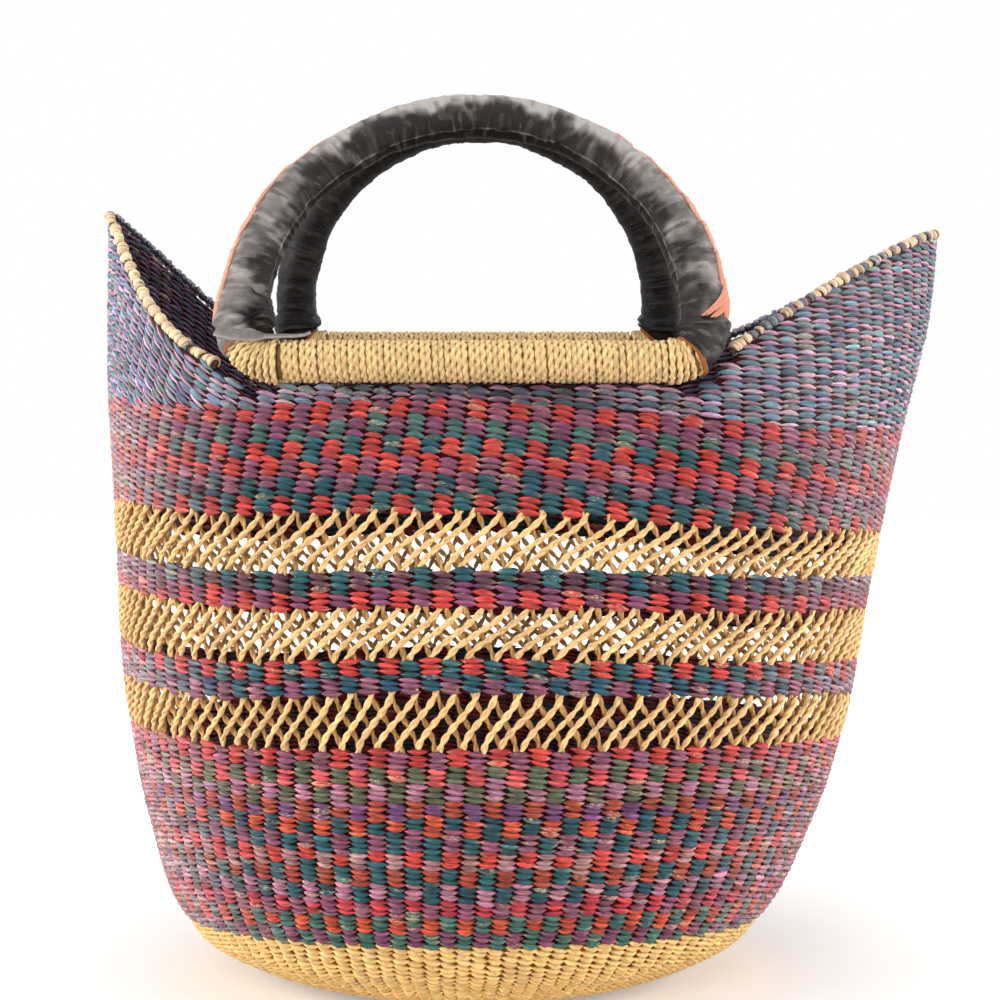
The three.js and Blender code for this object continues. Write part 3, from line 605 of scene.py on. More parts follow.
def leather_material(name, deep, sheen_and_wear, roughness):
    """Creased leather. dye's alpha says how pale a place is, from painted highlights and from wear."""
    nodes = Nodes(bpy.data.materials.new(name))
    dye, run = nodes.attribute("dye"), nodes.attribute("fibre")["Vector"]
    mottle = nodes.noise(run, (0.11, 0.09, 1), 4, 0.6)
    creases = nodes.noise(run, (0.8, 0.15, 1), 3, 0.65)
    grain = nodes.noise(run, (2.4, 2.4, 1))
    sheen_and_wear_amount = nodes.maths("ADD", nodes.ramp(mottle, 0.35, 0.75, -0.07, 0.13), dye["Alpha"])
    sheen_and_wear_amount = nodes.maths("ADD", sheen_and_wear_amount, nodes.ramp(creases, 0.54, 0.8, -0.02, 0.34), clamp=True)
    colour = nodes.blend(nodes.maths("POWER", sheen_and_wear_amount, 1.6), opaque(deep), opaque(sheen_and_wear))
    colour = nodes.blend(1.0, colour, dye["Color"], "MULTIPLY")
    height = nodes.maths("ADD", nodes.maths("MULTIPLY", creases, 1.4),
                         nodes.maths("MULTIPLY", grain, 0.35))
    roughness = nodes.ramp(mottle, *NOISE_RANGE, roughness, roughness + 0.2)
    return nodes.surface(colour, roughness, height, 0.5, **{"Specular IOR Level": 0.24})


def gap_material(name, dark, light, painted_sheen):
    """Painted shade between the stitches, matt. dye's alpha says how much painted sheen a place has."""
    nodes = Nodes(bpy.data.materials.new(name))
    grain = nodes.noise(nodes.attribute("fibre")["Vector"], (1.1, 0.4, 1), 3)
    colour = nodes.blend(nodes.ramp(grain, *NOISE_RANGE), opaque(dark), opaque(light))
    colour = nodes.blend(nodes.attribute("dye")["Alpha"], colour, opaque(painted_sheen))
    return nodes.surface(colour, 0.9, grain, 0.3, **{"Specular IOR Level": 0.0})


def cane_material():
    nodes = Nodes(bpy.data.materials.new("cane"))
    mottle = nodes.noise(nodes.add("ShaderNodeTexCoord").outputs["Object"], (600, 600, 600), 4)
    colour = nodes.blend(mottle, opaque("8a5f33"), opaque("c79a5c"))
    return nodes.surface(colour, nodes.ramp(mottle, *NOISE_RANGE, 0.5, 0.7), mottle, 0.3)


dyed_straw = straw_material("dyed straw", 0.5, "e6c8a0")
plain_straw = straw_material("plain straw", 0.14, "fff0c4")
dyed_gap_shade = gap_material("shade between dyed stitches", "2a1115", "471d20", "a07a7c")
plain_gap_shade = gap_material("shade between plain stitches", "6b471c", "96692e", "96692e")
black_leather = leather_material("black leather", "17110f", "b0a8a3", 0.4)
coral_leather = leather_material("coral leather", "da8265", "ffd0ba", 0.5)
tan_leather = leather_material("tan leather", "8a4a22", "cf8a50", 0.5)
cane = cane_material()

# Weave

COLUMNS = 112
FACES = (("outside", False), ("inside", True))

# A stitch is a spindle: places along it, with its tips at -1 and 1, and its swell there
STITCH_STOPS = np.array([-0.82, -0.48, 0, 0.48, 0.82])
STITCH_SWELL = np.array([0.24, 0.7, 1, 0.7, 0.24])
STITCH_SIDES = 6
STITCH_OVERLAP = 1.2
STITCH_FULLNESS = 1.4
STITCH_THICKNESS = 1.45
CENTRE_DEPTH = 1.15
TIP_DEPTH = 2.3

# How much stitches differ in size, slant in degrees, place across and along the row, and reach
SIZE_SPREAD = 0.09
SLANT_SPREAD = 3.5
ROW_SPREAD = 0.06
PLACE_SPREAD = 0.04
REACH_SPREAD = 0.06

# Paint of a stitch: painted highlights at its tips, a share of tips that lost their dye, painted shade on
# those tips inside, and painted shade along its edges
TIP_HIGHLIGHT = 1.0
BARE_TIPS = 0.2
TIP_COLOUR = linear("d8b49c")
INSIDE_TIP_SHADE = 0.3
EDGE_SHADE = 0.5


def stitch_template():
    """Spindle with pointed ends: place along, swell, angle, and faces."""
    rings, sides = len(STITCH_STOPS), STITCH_SIDES
    along = np.r_[np.repeat(STITCH_STOPS, sides), -1, 1]
    swell = np.r_[np.repeat(STITCH_SWELL, sides), 0, 0]
    angle = np.r_[np.tile(circle(sides), rings), 0, 0]
    index = np.arange(rings * sides).reshape(rings, sides)
    after = np.roll(index, -1, axis=1)
    quads = np.stack([index[:-1], index[1:], after[1:], after[:-1]], -1).reshape(-1, 4)
    start, end = rings * sides, rings * sides + 1
    tips = np.concatenate([stacked(start, index[0], after[0]), stacked(end, after[-1], index[-1])])
    return along, swell, angle, [quads, tips]


STITCH = stitch_template()

# How many columns the stakes have wound round at some levels below and above the lattices, at
# the two stripes, and the levels that part these from each other
LOW_TWIST = ([LOWEST_LEVEL, 8, 40, 57, 140], [-1.9, -1.2, -0.93, -0.79, -0.09])
HIGH_TWIST = ([252, 290, 302, 400], [0.11, 0.66, 0.8, 1.2])
STRIPE_TWISTS = (0.59, 0.17)
TWIST_PARTS = (150, 192, 235)


def column_turn(column, level, columns=COLUMNS):
    """Turn at which a column stands at a level."""
    low, middle, high = (np.asarray(level) < part for part in TWIST_PARTS)
    twist = np.where(high, STRIPE_TWISTS[1], np.interp(level, *HIGH_TWIST))
    twist = np.where(middle, STRIPE_TWISTS[0], twist)
    twist = np.where(low, np.interp(level, *LOW_TWIST), twist)
    return FULL_TURN * (column + 0.5 + twist) / columns


def lay_stitches(shapes, turn, level, width, height, dye, inside, lean, even=None, rise=None,
                 proud=0.0, shade=EDGE_SHADE, bare_tips=BARE_TIPS):
    """Lays stitches on the wall. width and height are a stitch's full size.

    A row bends with the seams when its even level is given, or else as rise says.
    """
    along, swell, angle, faces = STITCH
    each = (len(turn), 1)
    along_turn, along_level = look_up(wall_stretch, turn, level).T[:, :, None]
    turn, level, width, height = (values[:, None] for values in (turn, level, width, height))
    size = random.normal(1, SIZE_SPREAD, each)
    slant = np.tan(np.radians(lean + random.normal(0, SLANT_SPREAD, each)))
    shift = random.normal(0, ROW_SPREAD, each) * height
    slide = random.normal(0, PLACE_SPREAD, each) * width
    reach = STITCH_OVERLAP * random.normal(1, REACH_SPREAD, each)
    a = along * width / 2 * reach + slide
    u = swell * np.sin(angle) * height / 2 * STITCH_FULLNESS * size + a * slant + shift
    depth = CENTRE_DEPTH + (TIP_DEPTH - CENTRE_DEPTH) * along**2 - proud
    out = swell * np.cos(angle) * STITCH_THICKNESS * size - depth
    turns, levels = turn + a / along_turn, level + u / along_level
    if even is not None:
        levels = levels + settled(turns, even[:, None]) - level
    if rise is not None:
        levels = levels + rise(turns, turn) - rise(turn, turn)
    points = wall_at(turns, levels, WALL + out if inside else -out)
    fibre = stacked(a, swell * angle * height / 2, random.uniform(0, 400, each))
    paint = np.repeat(dye[:, None, :], len(along), axis=1)
    # Painted highlight towards the tips, where the strand bends
    paint[..., :3] *= 1 + TIP_HIGHLIGHT * np.abs(along[:, None]) ** 3
    bare = (random.random((len(turn), 2)) < bare_tips) * random.uniform(0.3, 0.9, (len(turn), 2))
    bare = np.where(along < 0, bare[:, :1], bare[:, 1:]) * smooth_step(0.35, 0.9, np.abs(along))
    # Bare tips inside are painted darker, as shade
    tip_colour = TIP_COLOUR * (INSIDE_TIP_SHADE if inside else 1)
    paint[..., :3] += (tip_colour - paint[..., :3]) * bare[..., None]
    # Painted shade along the upper and lower edges of each stitch
    paint[..., :3] *= 1 - shade * np.sin(angle[:, None]) ** 2
    shapes.copies(points, faces, paint, fibre)


def stitch_dye(colours, undyed, spread=0.15, hue=0.06):
    """Paint of each stitch, a little lighter or darker than its colour."""
    each = (len(colours), 1)
    light, tint = varied(spread, each), varied(hue, (len(colours), 3))
    alpha = np.where(random.random(each) < undyed, random.uniform(0.4, 1, each), 0.15)
    return np.hstack([np.clip(colours * light * tint, 0, 1), alpha])


def grid_of(rows, columns=COLUMNS):
    row, column = np.meshgrid(np.arange(rows), np.arange(columns), indexing="ij")
    return row.ravel(), column.ravel()


def stagger(column):
    """Every second column lies half a row higher."""
    return np.where(column % 2 == 1, 0.25, -0.25)


RED, ROSE, CRIMSON = "d24843", "de5c60", "cc4450"
ORANGE, RUST = "d4563f", "b04e3c"
MAUVE, PINK, PURPLE, VIOLET = "94586f", "b87c92", "894d6b", "7d4f7b"
PLUM, BEIGE_MAUVE = "6b4252", "b88486"
TEAL, DEEP_TEAL, GREEN_TEAL, GREY_TEAL = "316168", "2a5660", "4a7268", "537570"
BLUE_TEAL, OLIVE, SAGE = "2e596c", "62644f", "626a55"

# Blocks of three rows, from the top down: the colours on odd and even columns
UPPER_BAND_BLOCKS = [
    (RED, MAUVE), (PURPLE, GREY_TEAL), (TEAL, RED), (RED, MAUVE), (MAUVE, DEEP_TEAL), (TEAL, RED),
]
UPPER_STRIPE_BLOCKS = [(TEAL, PLUM), (PURPLE, RED)]
LOWER_STRIPE_BLOCKS = [(RED, TEAL), (BLUE_TEAL, MAUVE)]
LOWER_BAND_BLOCKS = [
    (RED, MAUVE), (SAGE, ROSE), (PINK, OLIVE), (RUST, VIOLET), (DEEP_TEAL, ORANGE), (MAUVE, TEAL),
    (RED, BEIGE_MAUVE), (TEAL, RUST), (PINK, DEEP_TEAL), (CRIMSON, MAUVE), (GREEN_TEAL, ORANGE),
    (PURPLE, GREEN_TEAL),
]
ROWS_IN_BLOCK = 3
SLIPPED_BLOCKS = 0.13
BAND_UNDYED = 0.1
# Painted shade on the stitches inside the basket
INSIDE_SHADE = (0.4, 0.34, 0.38, 1)
# Painted sheen at the two ends of the basket: its colour, and its strength at the left and the right
SHEEN_COLOUR = linear("e2bcc0")
LEFT_SHEEN = 0.54
RIGHT_SHEEN = 0.44
SHADE_SHEET_DEPTHS = (2.1, 2.6)


def band_colours(row, column, blocks):
    """Colour of each stitch of a checked band. Some blocks start a row early or late."""
    table = np.array([[linear(code) for code in pair] for pair in blocks])
    slip = random.random((len(blocks) + 1, COLUMNS)) < SLIPPED_BLOCKS
    way = random.choice([-1, 1], (len(blocks) + 1, COLUMNS))
    block = row // ROWS_IN_BLOCK
    edge = row % ROWS_IN_BLOCK
    early = slip[block, column] & (way[block, column] < 0) & (edge == 0)
    late = slip[block + 1, column] & (way[block + 1, column] > 0) & (edge == ROWS_IN_BLOCK - 1)
    block = np.clip(block - early + late, 0, len(blocks) - 1)
    return table[block, 1 - column % 2]


def sheen_share(turn):
    """How much painted sheen lies on the weave, most at the two ends of the basket."""
    return (LEFT_SHEEN * smooth_step(0.64, 0.15, from_tip(turn, LEFT))
            + RIGHT_SHEEN * smooth_step(0.64, 0.1, from_tip(turn, RIGHT)))


def with_sheen(colours, turn):
    """Colours with painted sheen over them, a little less over red ones."""
    redness = np.clip(1 - colours[:, 1:2] / colours[:, :1], 0, 1)
    share = sheen_share(turn)[:, None] * (1.1 - 0.4 * redness)
    return colours * (1 - share) + SHEEN_COLOUR * share


def shade_sheet(name, nodes, material, bottom, top, steps=6, places=240, painted_sheen=True):
    """Thin closed sheet behind the stitches, dark as painted shade for the gaps between them.

    bottom and top give levels at some turns.
    """
    turns = np.arange(places) * FULL_TURN / places
    share = np.linspace(0, 1, steps)[:, None]
    levels = bottom(turns) + (top(turns) - bottom(turns)) * share
    outer = wall_at(turns, levels, SHADE_SHEET_DEPTHS[0])
    inner = wall_at(turns, levels[::-1], SHADE_SHEET_DEPTHS[1])
    dye = np.ones((2 * steps, places, 4))
    # Painted sheen on the outer side, towards the two ends
    dye[:steps, :, 3] = sheen_share(turns) if painted_sheen else 0
    dye[steps:, :, 3] = 0
    shapes = Shapes()
    shapes.band(np.concatenate([outer, inner]), dye.reshape(-1, 4))
    shapes.build(f"{name}_backing", material, "basket", nodes)


def checked_band(node, bottom, top, blocks, lean, right_lean, parts=1, light=1.0):
    """A band of dyed stitches in blocks, outside and inside, that lean more at the right end."""
    rows = len(blocks) * ROWS_IN_BLOCK
    pitch = (top - bottom) / rows
    row, column = grid_of(rows)
    colours = band_colours(row, column, blocks)
    even = top - pitch * (row + 0.5 - stagger(column))
    turn = column_turn(column, even)
    level = settled(turn, even)
    taller = settled(turn, even + 0.5) - settled(turn, even - 0.5)
    lean = lean + right_lean * smooth_step(3.3, 3.8, turn % FULL_TURN)
    stretch = look_up(wall_stretch, turn, level)
    width = stretch[:, 0] * FULL_TURN / COLUMNS
    height = stretch[:, 1] * pitch * taller
    dye = stitch_dye(with_sheen(colours * light, turn), BAND_UNDYED)
    for (face, inside), part in itertools.product(FACES, range(parts)):
        shapes = Shapes()
        mine = row * parts // rows == part
        paint = dye * INSIDE_SHADE if inside else dye
        slope = (-lean if inside else lean)[mine][:, None]
        lay_stitches(shapes, turn[mine], level[mine], width[mine], height[mine], paint[mine],
                     inside, slope, even[mine])
        ending = f"_{part + 1}" if parts > 1 else ""
        shapes.build(f"{node}_weave_{face}{ending}", dyed_straw, "basket", [node])
    shade_sheet(f"{node}_weave", [node], dyed_gap_shade,
            lambda turns: settled(turns, bottom + 0.5), lambda turns: settled(turns, top - 0.5))


checked_band("upper_band", UPPER_LATTICE[1], CROWN_BOTTOM, UPPER_BAND_BLOCKS, -8, -8, light=0.88)
checked_band("upper_stripe", MIDDLE_LATTICE[1], UPPER_LATTICE[0], UPPER_STRIPE_BLOCKS, -6, -6)
checked_band("lower_stripe", LOWER_LATTICE[1], MIDDLE_LATTICE[0], LOWER_STRIPE_BLOCKS, -6, -6)
checked_band("lower_band", BASE_TOP, LOWER_LATTICE[0], LOWER_BAND_BLOCKS, -5, 0, parts=2)

# Base: undyed stitches in equal rows from the middle of the underside to the dyed weave

BASE_PITCH = 2.85
BASE_LEAN = 9
BASE_UNDYED = 0.1
BASE_SPREAD = 0.06
BASE_HUE = 0.01
# Painted shade along the edges of the base stitches
BASE_SHADE = 0.32
KNOT_REACH = 7
ROW_OVERLAP = 1.12
UNDERSIDE_TOP = 12
UNDERSIDE_SINK = 0.5
BASE_STRAW = linear("ffd288")
BASE_NODES = ["base_floor", "base_side"]
# Pieces of the base weave, by ending of the name: number of columns, lowest and highest level
BASE_PIECES = {
    "_upper": [(COLUMNS, 4, BASE_TOP)],
    "": [(COLUMNS, -38, 4), (COLUMNS // 2, -57, -38), (COLUMNS // 4, LOWEST_LEVEL, -57)],
}


def base_rows():
    """Levels of the rows, by equal lengths on the mean slope of the base, and their pitch."""
    levels = np.arange(LOWEST_LEVEL, int(BASE_TOP) + 2)
    slope = wall_stretch[:len(levels), :, 1].mean(axis=1)
    lengths = np.r_[0, np.cumsum((slope[1:] + slope[:-1]) / 2)]
    total = np.interp(BASE_TOP, levels, lengths)
    count = int(round((total - KNOT_REACH) / BASE_PITCH))
    middles = total - (total - KNOT_REACH) * (np.arange(count) + 0.5) / count
    return np.interp(middles, lengths, levels), (total - KNOT_REACH) / count


def base_weave():
    levels, pitch = base_rows()
    for (face, inside), (ending, zones) in itertools.product(FACES, BASE_PIECES.items()):
        shapes = Shapes()
        for columns, low, high in zones:
            chosen = levels[(levels >= low) & (levels < high)]
            row, column = grid_of(len(chosen), columns)
            level = chosen[row]
            steep = look_up(wall_stretch, np.full(len(level), 0.5), level)[:, 1]
            level = level + stagger(column) * pitch / steep
            turn = column_turn(column, level, columns)
            width = look_up(wall_stretch, turn, level)[:, 0] * FULL_TURN / columns
            height = np.full(len(level), pitch * ROW_OVERLAP)
            straw = np.broadcast_to(BASE_STRAW, (len(level), 3))
            dye = stitch_dye(straw, BASE_UNDYED, BASE_SPREAD, BASE_HUE)
            proud = np.where(level < UNDERSIDE_TOP, -UNDERSIDE_SINK, 0)[:, None]
            lay_stitches(shapes, turn, level, width, height, dye, inside,
                         BASE_LEAN if inside else -BASE_LEAN, proud=proud, shade=BASE_SHADE)
        shapes.build(f"base_weave_{face}{ending}", plain_straw, "basket", BASE_NODES)
    shade_sheet("base_weave", BASE_NODES, plain_gap_shade,
            lambda turns: np.full_like(turns, LOWEST_LEVEL + 5),
            lambda turns: np.full_like(turns, BASE_TOP - 0.5), 40, painted_sheen=False)


base_weave()

PLY_SIDES = 6


def twisted(shapes, centres, side, up, lay, ply, dye, spread, phase=0.0):
    """Cords (m, stops, 3) of two plies laid round each other.

    lay is the length of a full turn, ply a ply's radius, and spread how far the plies stand apart.
    """
    lengths = lengths_along(centres)
    angle = 2 * np.pi * lengths / lay + phase
    radius = np.broadcast_to(ply, lengths.shape)[..., None]
    theta = circle(PLY_SIDES)
    seed = random.uniform(0, 400, (len(centres), 1, 1))
    for start in (0, np.pi):
        middle = centres + span(angle + start, side, up) * radius * spread
        ring = span(theta, side[..., None, :], up[..., None, :])
        fibre = stacked(lengths[..., None], (theta + angle[..., None]) * radius, seed + start)
        shapes.tubes(middle[..., None, :] + ring * radius[..., None], dye, fibre)


# Cords of the openwork: radius of a ply, depth at the middle and colour, in front and behind, where the
# colour is darker as painted shade
FRONT_CORD = (0.94, 0.9, linear("f4ca8e"))
BACK_CORD = (0.84, 3.4, linear("d6a96c"))
BACK_SHIFT = -1.3
CORD_STOPS = 32
CORD_LAY = 12.5
CORD_SPREAD = 0.7
CORD_LOOSENESS = 0.12
CORD_END_DEPTH = 2.3
STRAW_UNDYED = 0.3


def lattice(place, seams, shift):
    """Openwork: twisted cords that lean to the right, over thinner ones that lean to the left.

    shift is how many columns a front cord crosses.
    """
    bottom, top = seams
    climb = np.linspace(-0.07, 1.07, CORD_STOPS)
    smooth = 0.4 * climb + 0.6 * (0.5 - 0.5 * np.cos(np.pi * np.clip(climb, 0, 1)))
    ends = np.clip(np.abs(2 * climb - 1) ** 6, 0, 1)
    column = np.arange(COLUMNS)[:, None]
    shapes = Shapes()
    for leaning, (ply, middle_depth, colour) in ((shift, FRONT_CORD), (BACK_SHIFT, BACK_CORD)):
        start, end = (random.normal(0, CORD_LOOSENESS, (COLUMNS, 1)) for _ in range(2))
        across = leaning * smooth + start * (1 - climb) + end * climb
        turn = column_turn(column, bottom - 1) + FULL_TURN * across / COLUMNS
        level = settled(turn, bottom) * (1 - climb) + settled(turn, top) * climb
        centres = wall_at(turn, level, middle_depth + (CORD_END_DEPTH - middle_depth) * ends)
        up = unit(look_up(wall_normals, turn, level))
        side = unit(np.cross(up, unit(np.gradient(centres, axis=1))))
        thick = random.normal(1, 0.06, (COLUMNS, 1))
        light = varied(0.09, (COLUMNS, 1, 1, 1))
        dye = np.concatenate([light * colour, np.full_like(light, STRAW_UNDYED)], -1)
        phase = random.uniform(0, 2 * np.pi, (COLUMNS, 1))
        twisted(shapes, centres, side, up, CORD_LAY, ply * thick, dye, CORD_SPREAD, phase)
    shapes.build(f"{place}_openwork", plain_straw, "basket", [f"{place}_lattice"])


lattice("upper", UPPER_LATTICE, 2.75)
lattice("middle", MIDDLE_LATTICE, 2.5)
lattice("lower", LOWER_LATTICE, 1.85)

# Crown: rows of two alternating colours that climb towards the centre from each wing's tip

CROWN_PITCH = 2.8
LEFT_RISE = 42
RIGHT_RISE = 15
FOOT_TURNS = 0.62
LEFT_WING_LEAN = -24
RIGHT_WING_LEAN = -7
# Share of the left wing's lean at some distances from its tip
LEAN_SHARES = ([0, 0.3, 0.38, 0.52, 0.64, 0.85], [0, 1, 1, 0.5, 0.4, 0.12])
RIGHT_WING_SLIM = 0.09
SLATE_HEIGHT = 1.2
ROWS_UNDER_SEAM = 6
MOST_ROWS = 66
CROWN_UNDYED = 0.2
CROWN_SPREAD = 0.24
CROWN_BARE_TIPS = 0.42
# Painted shade on the crown's stitches inside
CROWN_INSIDE_SHADE = (0.27, 0.21, 0.28, 1)
# Slate and rose of the right and the left wing, and how much darker the middle is, as painted shade under
# the rolls
SLATES = (linear("6f8896"), linear("8093a4"))
ROSES = (linear("c096ac"), linear("caa4c0"))
MIDDLE_SHADE = (0.6, 0.66, 0.62)
FOOT_ROOM = 2.8


def row_rise(turn, middle):
    """How much higher a crown row lies at a turn than at the wing's tip, seen on the wall.

    middle is the turn at the middle of the stitch, which tells the wing.
    """
    return np.where(
        from_tip(middle, RIGHT) < 1,
        -RIGHT_RISE * smooth_step(0, FOOT_TURNS, from_tip(turn, RIGHT)),
        -LEFT_RISE * smooth_step(0, FOOT_TURNS, from_tip(turn, LEFT)),
    )


def crown_top(turn):
    """Level of the top stitches, which leave the feet room to swing."""
    from_middle = np.abs(wall_at(turn, crown_at(turn), WALL / 2)[..., 0] - HANDLE_SHIFT)
    near_foot = smooth_step(94, 102, from_middle) * smooth_step(131, 125, from_middle)
    return crown_at(turn) - FOOT_ROOM * near_foot


def crown_weave():
    row, column = grid_of(MOST_ROWS)
    row = row - ROWS_UNDER_SEAM
    nominal = CROWN_BOTTOM + CROWN_PITCH * (row + 0.5 + stagger(column))
    turn = column_turn(column, nominal)
    turn = column_turn(column, nominal + row_rise(turn, turn))
    level = nominal + row_rise(turn, turn)
    lowest = settled(turn, CROWN_BOTTOM) - 0.15 * CROWN_PITCH
    keep = (level > lowest) & (level < crown_top(turn) - 0.2 * CROWN_PITCH)
    row, turn, level = row[keep], turn[keep], level[keep]
    is_slate = row % 2 == 0
    from_right, from_left = from_tip(turn, RIGHT), from_tip(turn, LEFT)
    right_wing = from_right < 1
    slate, rose = (np.where(right_wing[:, None], *pair) for pair in (SLATES, ROSES))
    middle = smooth_step(0.45, 0.95, np.minimum(from_right, from_left))[:, None]
    colours = np.where(is_slate[:, None], slate, rose) * (1 - middle * MIDDLE_SHADE)
    stretch = look_up(wall_stretch, turn, level)
    width = stretch[:, 0] * FULL_TURN / COLUMNS
    height = stretch[:, 1] * CROWN_PITCH * np.where(is_slate, SLATE_HEIGHT, 2 - SLATE_HEIGHT)
    dye = stitch_dye(colours, CROWN_UNDYED, CROWN_SPREAD)
    leaning = np.interp(from_left, *LEAN_SHARES)
    slim = 1 - 0.2 * leaning**2 - RIGHT_WING_SLIM * right_wing
    lean = LEFT_WING_LEAN * leaning * np.sign(turn % FULL_TURN - LEFT)
    lean = np.where(right_wing, RIGHT_WING_LEAN, lean)[:, None]
    for face, inside in FACES:
        shapes = Shapes()
        paint = dye * CROWN_INSIDE_SHADE if inside else dye
        longer, lower = (1.12, 0.74) if inside else (1.5 - slim / 2, slim)
        lay_stitches(shapes, turn, level, width * longer, height * lower, paint, inside,
                     0 if inside else lean, rise=row_rise, bare_tips=CROWN_BARE_TIPS)
        shapes.build(f"crown_weave_{face}", dyed_straw, "basket", ["wing_weave"])
    shade_sheet("crown_weave", ["wing_weave"], dyed_gap_shade,
            lambda turns: settled(turns, CROWN_BOTTOM) + 0.3,
            lambda turns: crown_top(turns) - 0.8, 12, 480)


crown_weave()

# Edging: pairs of straw stitches over the rim of each wing, round a core

EDGE_PITCH = 4.4
EDGE_LIFT = 2.1
EDGE_PAIR = (-0.72, 0.72)
EDGE_CORE = 1.7
EDGE_LOOP = 1.9
EDGE_SLANT = 1.3
EDGE_SWEEP = np.radians(np.linspace(-215, 105, 17)) + np.pi / 2
EDGE_WIDTH = 1.25
EDGE_END_X = ARCH_RADIUS + COLLAR_REACH + 2.6
EDGE_UNDYED = 0.5
REAR_EDGING = linear("8f8a9c")
DYED_EDGING = (linear("8d7684"), linear("6f7c80"))
FRONT_CORE = linear("6a4c3c")
REAR_CORE = linear("35303e")


def wing_edging(name, tip, front_colour, dyed):
    """Edging of a wing. dyed is the share of its front stitches that are dyed."""
    hand = 1 if tip == RIGHT else -1
    turns = tip + hand * np.linspace(-1, 1, 1201)
    x = look_up(wall_points, turns, crown_at(turns))[:, 0]
    turns = turns[np.abs(x - HANDLE_SHIFT) > EDGE_END_X]
    levels = crown_at(turns)
    base = wall_at(turns, levels, WALL / 2)
    normals = unit(look_up(wall_normals, turns, levels))
    up_wall = unit(np.cross(normals, np.gradient(base, axis=0)))
    up_wall = up_wall * np.sign(up_wall[:, 2:])
    lines = (base + up_wall * EDGE_LIFT, normals, up_wall)
    lengths = lengths_along(lines[0])
    at = np.linspace(0, lengths[-1], int(lengths[-1] / 2))
    middle, out, up = (resampled(at, lengths, line) for line in lines)
    shapes = Shapes()
    theta = circle(10)
    core = middle[:, None] + EDGE_CORE * span(theta, out[:, None], up[:, None])
    core_dye = np.hstack([np.where(out[:, 1:2] < 0, FRONT_CORE, REAR_CORE), np.full((len(at), 1), 0.1)])
    shapes.tubes(core[None], core_dye[:, None], stacked(at[:, None], theta * 2, 3.0)[None])
    pairs = int(lengths[-1] / EDGE_PITCH)
    places = (np.arange(pairs) + 0.5 + random.normal(0, 0.09, pairs)) * lengths[-1] / pairs
    places = np.repeat(places, 2) + np.tile(EDGE_PAIR, pairs)
    middle, out, up = (resampled(places, lengths, line) for line in lines)
    ahead = unit(np.cross(out, up))
    each = (len(places), 1, 1)
    size = random.normal(1, 0.13 + 0.3 * dyed, each)
    slant = np.linspace(-EDGE_SLANT, EDGE_SLANT, len(EDGE_SWEEP))[:, None] * hand
    slant = slant * random.normal(1, 0.3, each)
    loop = span(EDGE_SWEEP, out[:, None], up[:, None])
    rise = random.normal(0, 0.25, each)
    zigzag = 0.45 * (-1.0) ** (np.arange(len(places)) // 2)[:, None, None]
    path = middle[:, None] + out[:, None] * zigzag + loop * (EDGE_LOOP + rise) + ahead[:, None] * slant
    swell = np.sin(np.linspace(0.12, np.pi - 0.12, len(EDGE_SWEEP))) ** 0.6
    phi = circle(8)
    ring = span(phi, EDGE_WIDTH * ahead[:, None, None], loop[:, :, None])
    rings = path[:, :, None] + ring * swell[:, None, None] * size[..., None]
    front = out[:, 1:2] < 0
    colour = np.where(front, linear(front_colour), REAR_EDGING)
    is_dyed = np.repeat(random.random(pairs) < dyed, 2)[:, None] & front
    colour = np.where(is_dyed, np.where(random.random((len(places), 1)) < 0.5, *DYED_EDGING), colour)
    dye = stitch_dye(colour, EDGE_UNDYED, 0.16, 0.025)
    fibre = stacked((EDGE_SWEEP * 3)[:, None], phi * 2, random.uniform(0, 400, each))
    shapes.tubes(rings, dye[:, None, None, :], fibre)
    shapes.build(f"{name}_edging_stitches", plain_straw, "basket", [f"{name}_wing_edging"])


wing_edging("left", LEFT, "f4d6ae", 0.03)
wing_edging("right", RIGHT, "eacaaa", 0.33)

# Rim rolls: a straw core wound with twisted cord

ROLL_TURNS = 64
ROLL_STOPS = 26
ROLL_WIND = 8.95
ROLL_CORE = 8.2
ROLL_BORE = 6.4
ROLL_PLY = 1.08
ROLL_LAY = 10.5
ROLL_SPREAD = 0.68
WIND_END_GAP = 1.2
STRAW = linear("eecd94")
# Straw core under the winds: a darker straw, painted darker still as shade between the winds
SHADED_CORE = np.append(linear("c89c60") * 0.6, 0)


def rim_roll(side):
    """Roll of one side, wound along its whole length."""
    shapes = Shapes()
    count = ROLL_TURNS * ROLL_STOPS
    angle = np.linspace(0, 2 * np.pi * ROLL_TURNS, count)
    turn = angle / (2 * np.pi)
    end = ROLL_END - WIND_END_GAP
    x = np.linspace(-end, end, count) + 0.45 * wander(turn, 1.3, 9) + HANDLE_SHIFT
    out = stacked(0, np.sin(angle), -np.cos(angle))
    radius = ROLL_WIND + 0.175 * wander(turn, 0.7, 5)
    centres = stacked(x, side.rod_y, side.rod_height) + out * radius[:, None]
    across = unit(np.cross(out, unit(np.gradient(centres, axis=0))))
    light = np.exp(0.1 * wander(turn, 2.1, 11))[:, None]
    dye = np.hstack([light * STRAW, np.full_like(light, STRAW_UNDYED)])
    twisted(shapes, centres[None], across[None], out[None], ROLL_LAY, ROLL_PLY, dye[:, None], ROLL_SPREAD)
    theta = circle(32)
    ends = ROLL_END * np.array([[-1], [-1], [1], [1]]) + HANDLE_SHIFT
    radii = np.array([[ROLL_BORE], [ROLL_CORE], [ROLL_CORE], [ROLL_BORE]])
    rings = stacked(ends, side.rod_y + radii * np.cos(theta), side.rod_height + radii * np.sin(theta))
    shapes.band(rings, SHADED_CORE)
    shapes.build(f"{side.name}_roll", plain_straw, "basket",
                 [f"{side.name}_rim_sleeve", f"{side.name}_rim_winding"])


rim_roll(front_side)
rim_roll(rear_side)

# Handles. Lengths along a loop start at its right elbow, and angles round it at its outside,
# with the front of the front handle and the rear of the rear handle at -90 degrees.

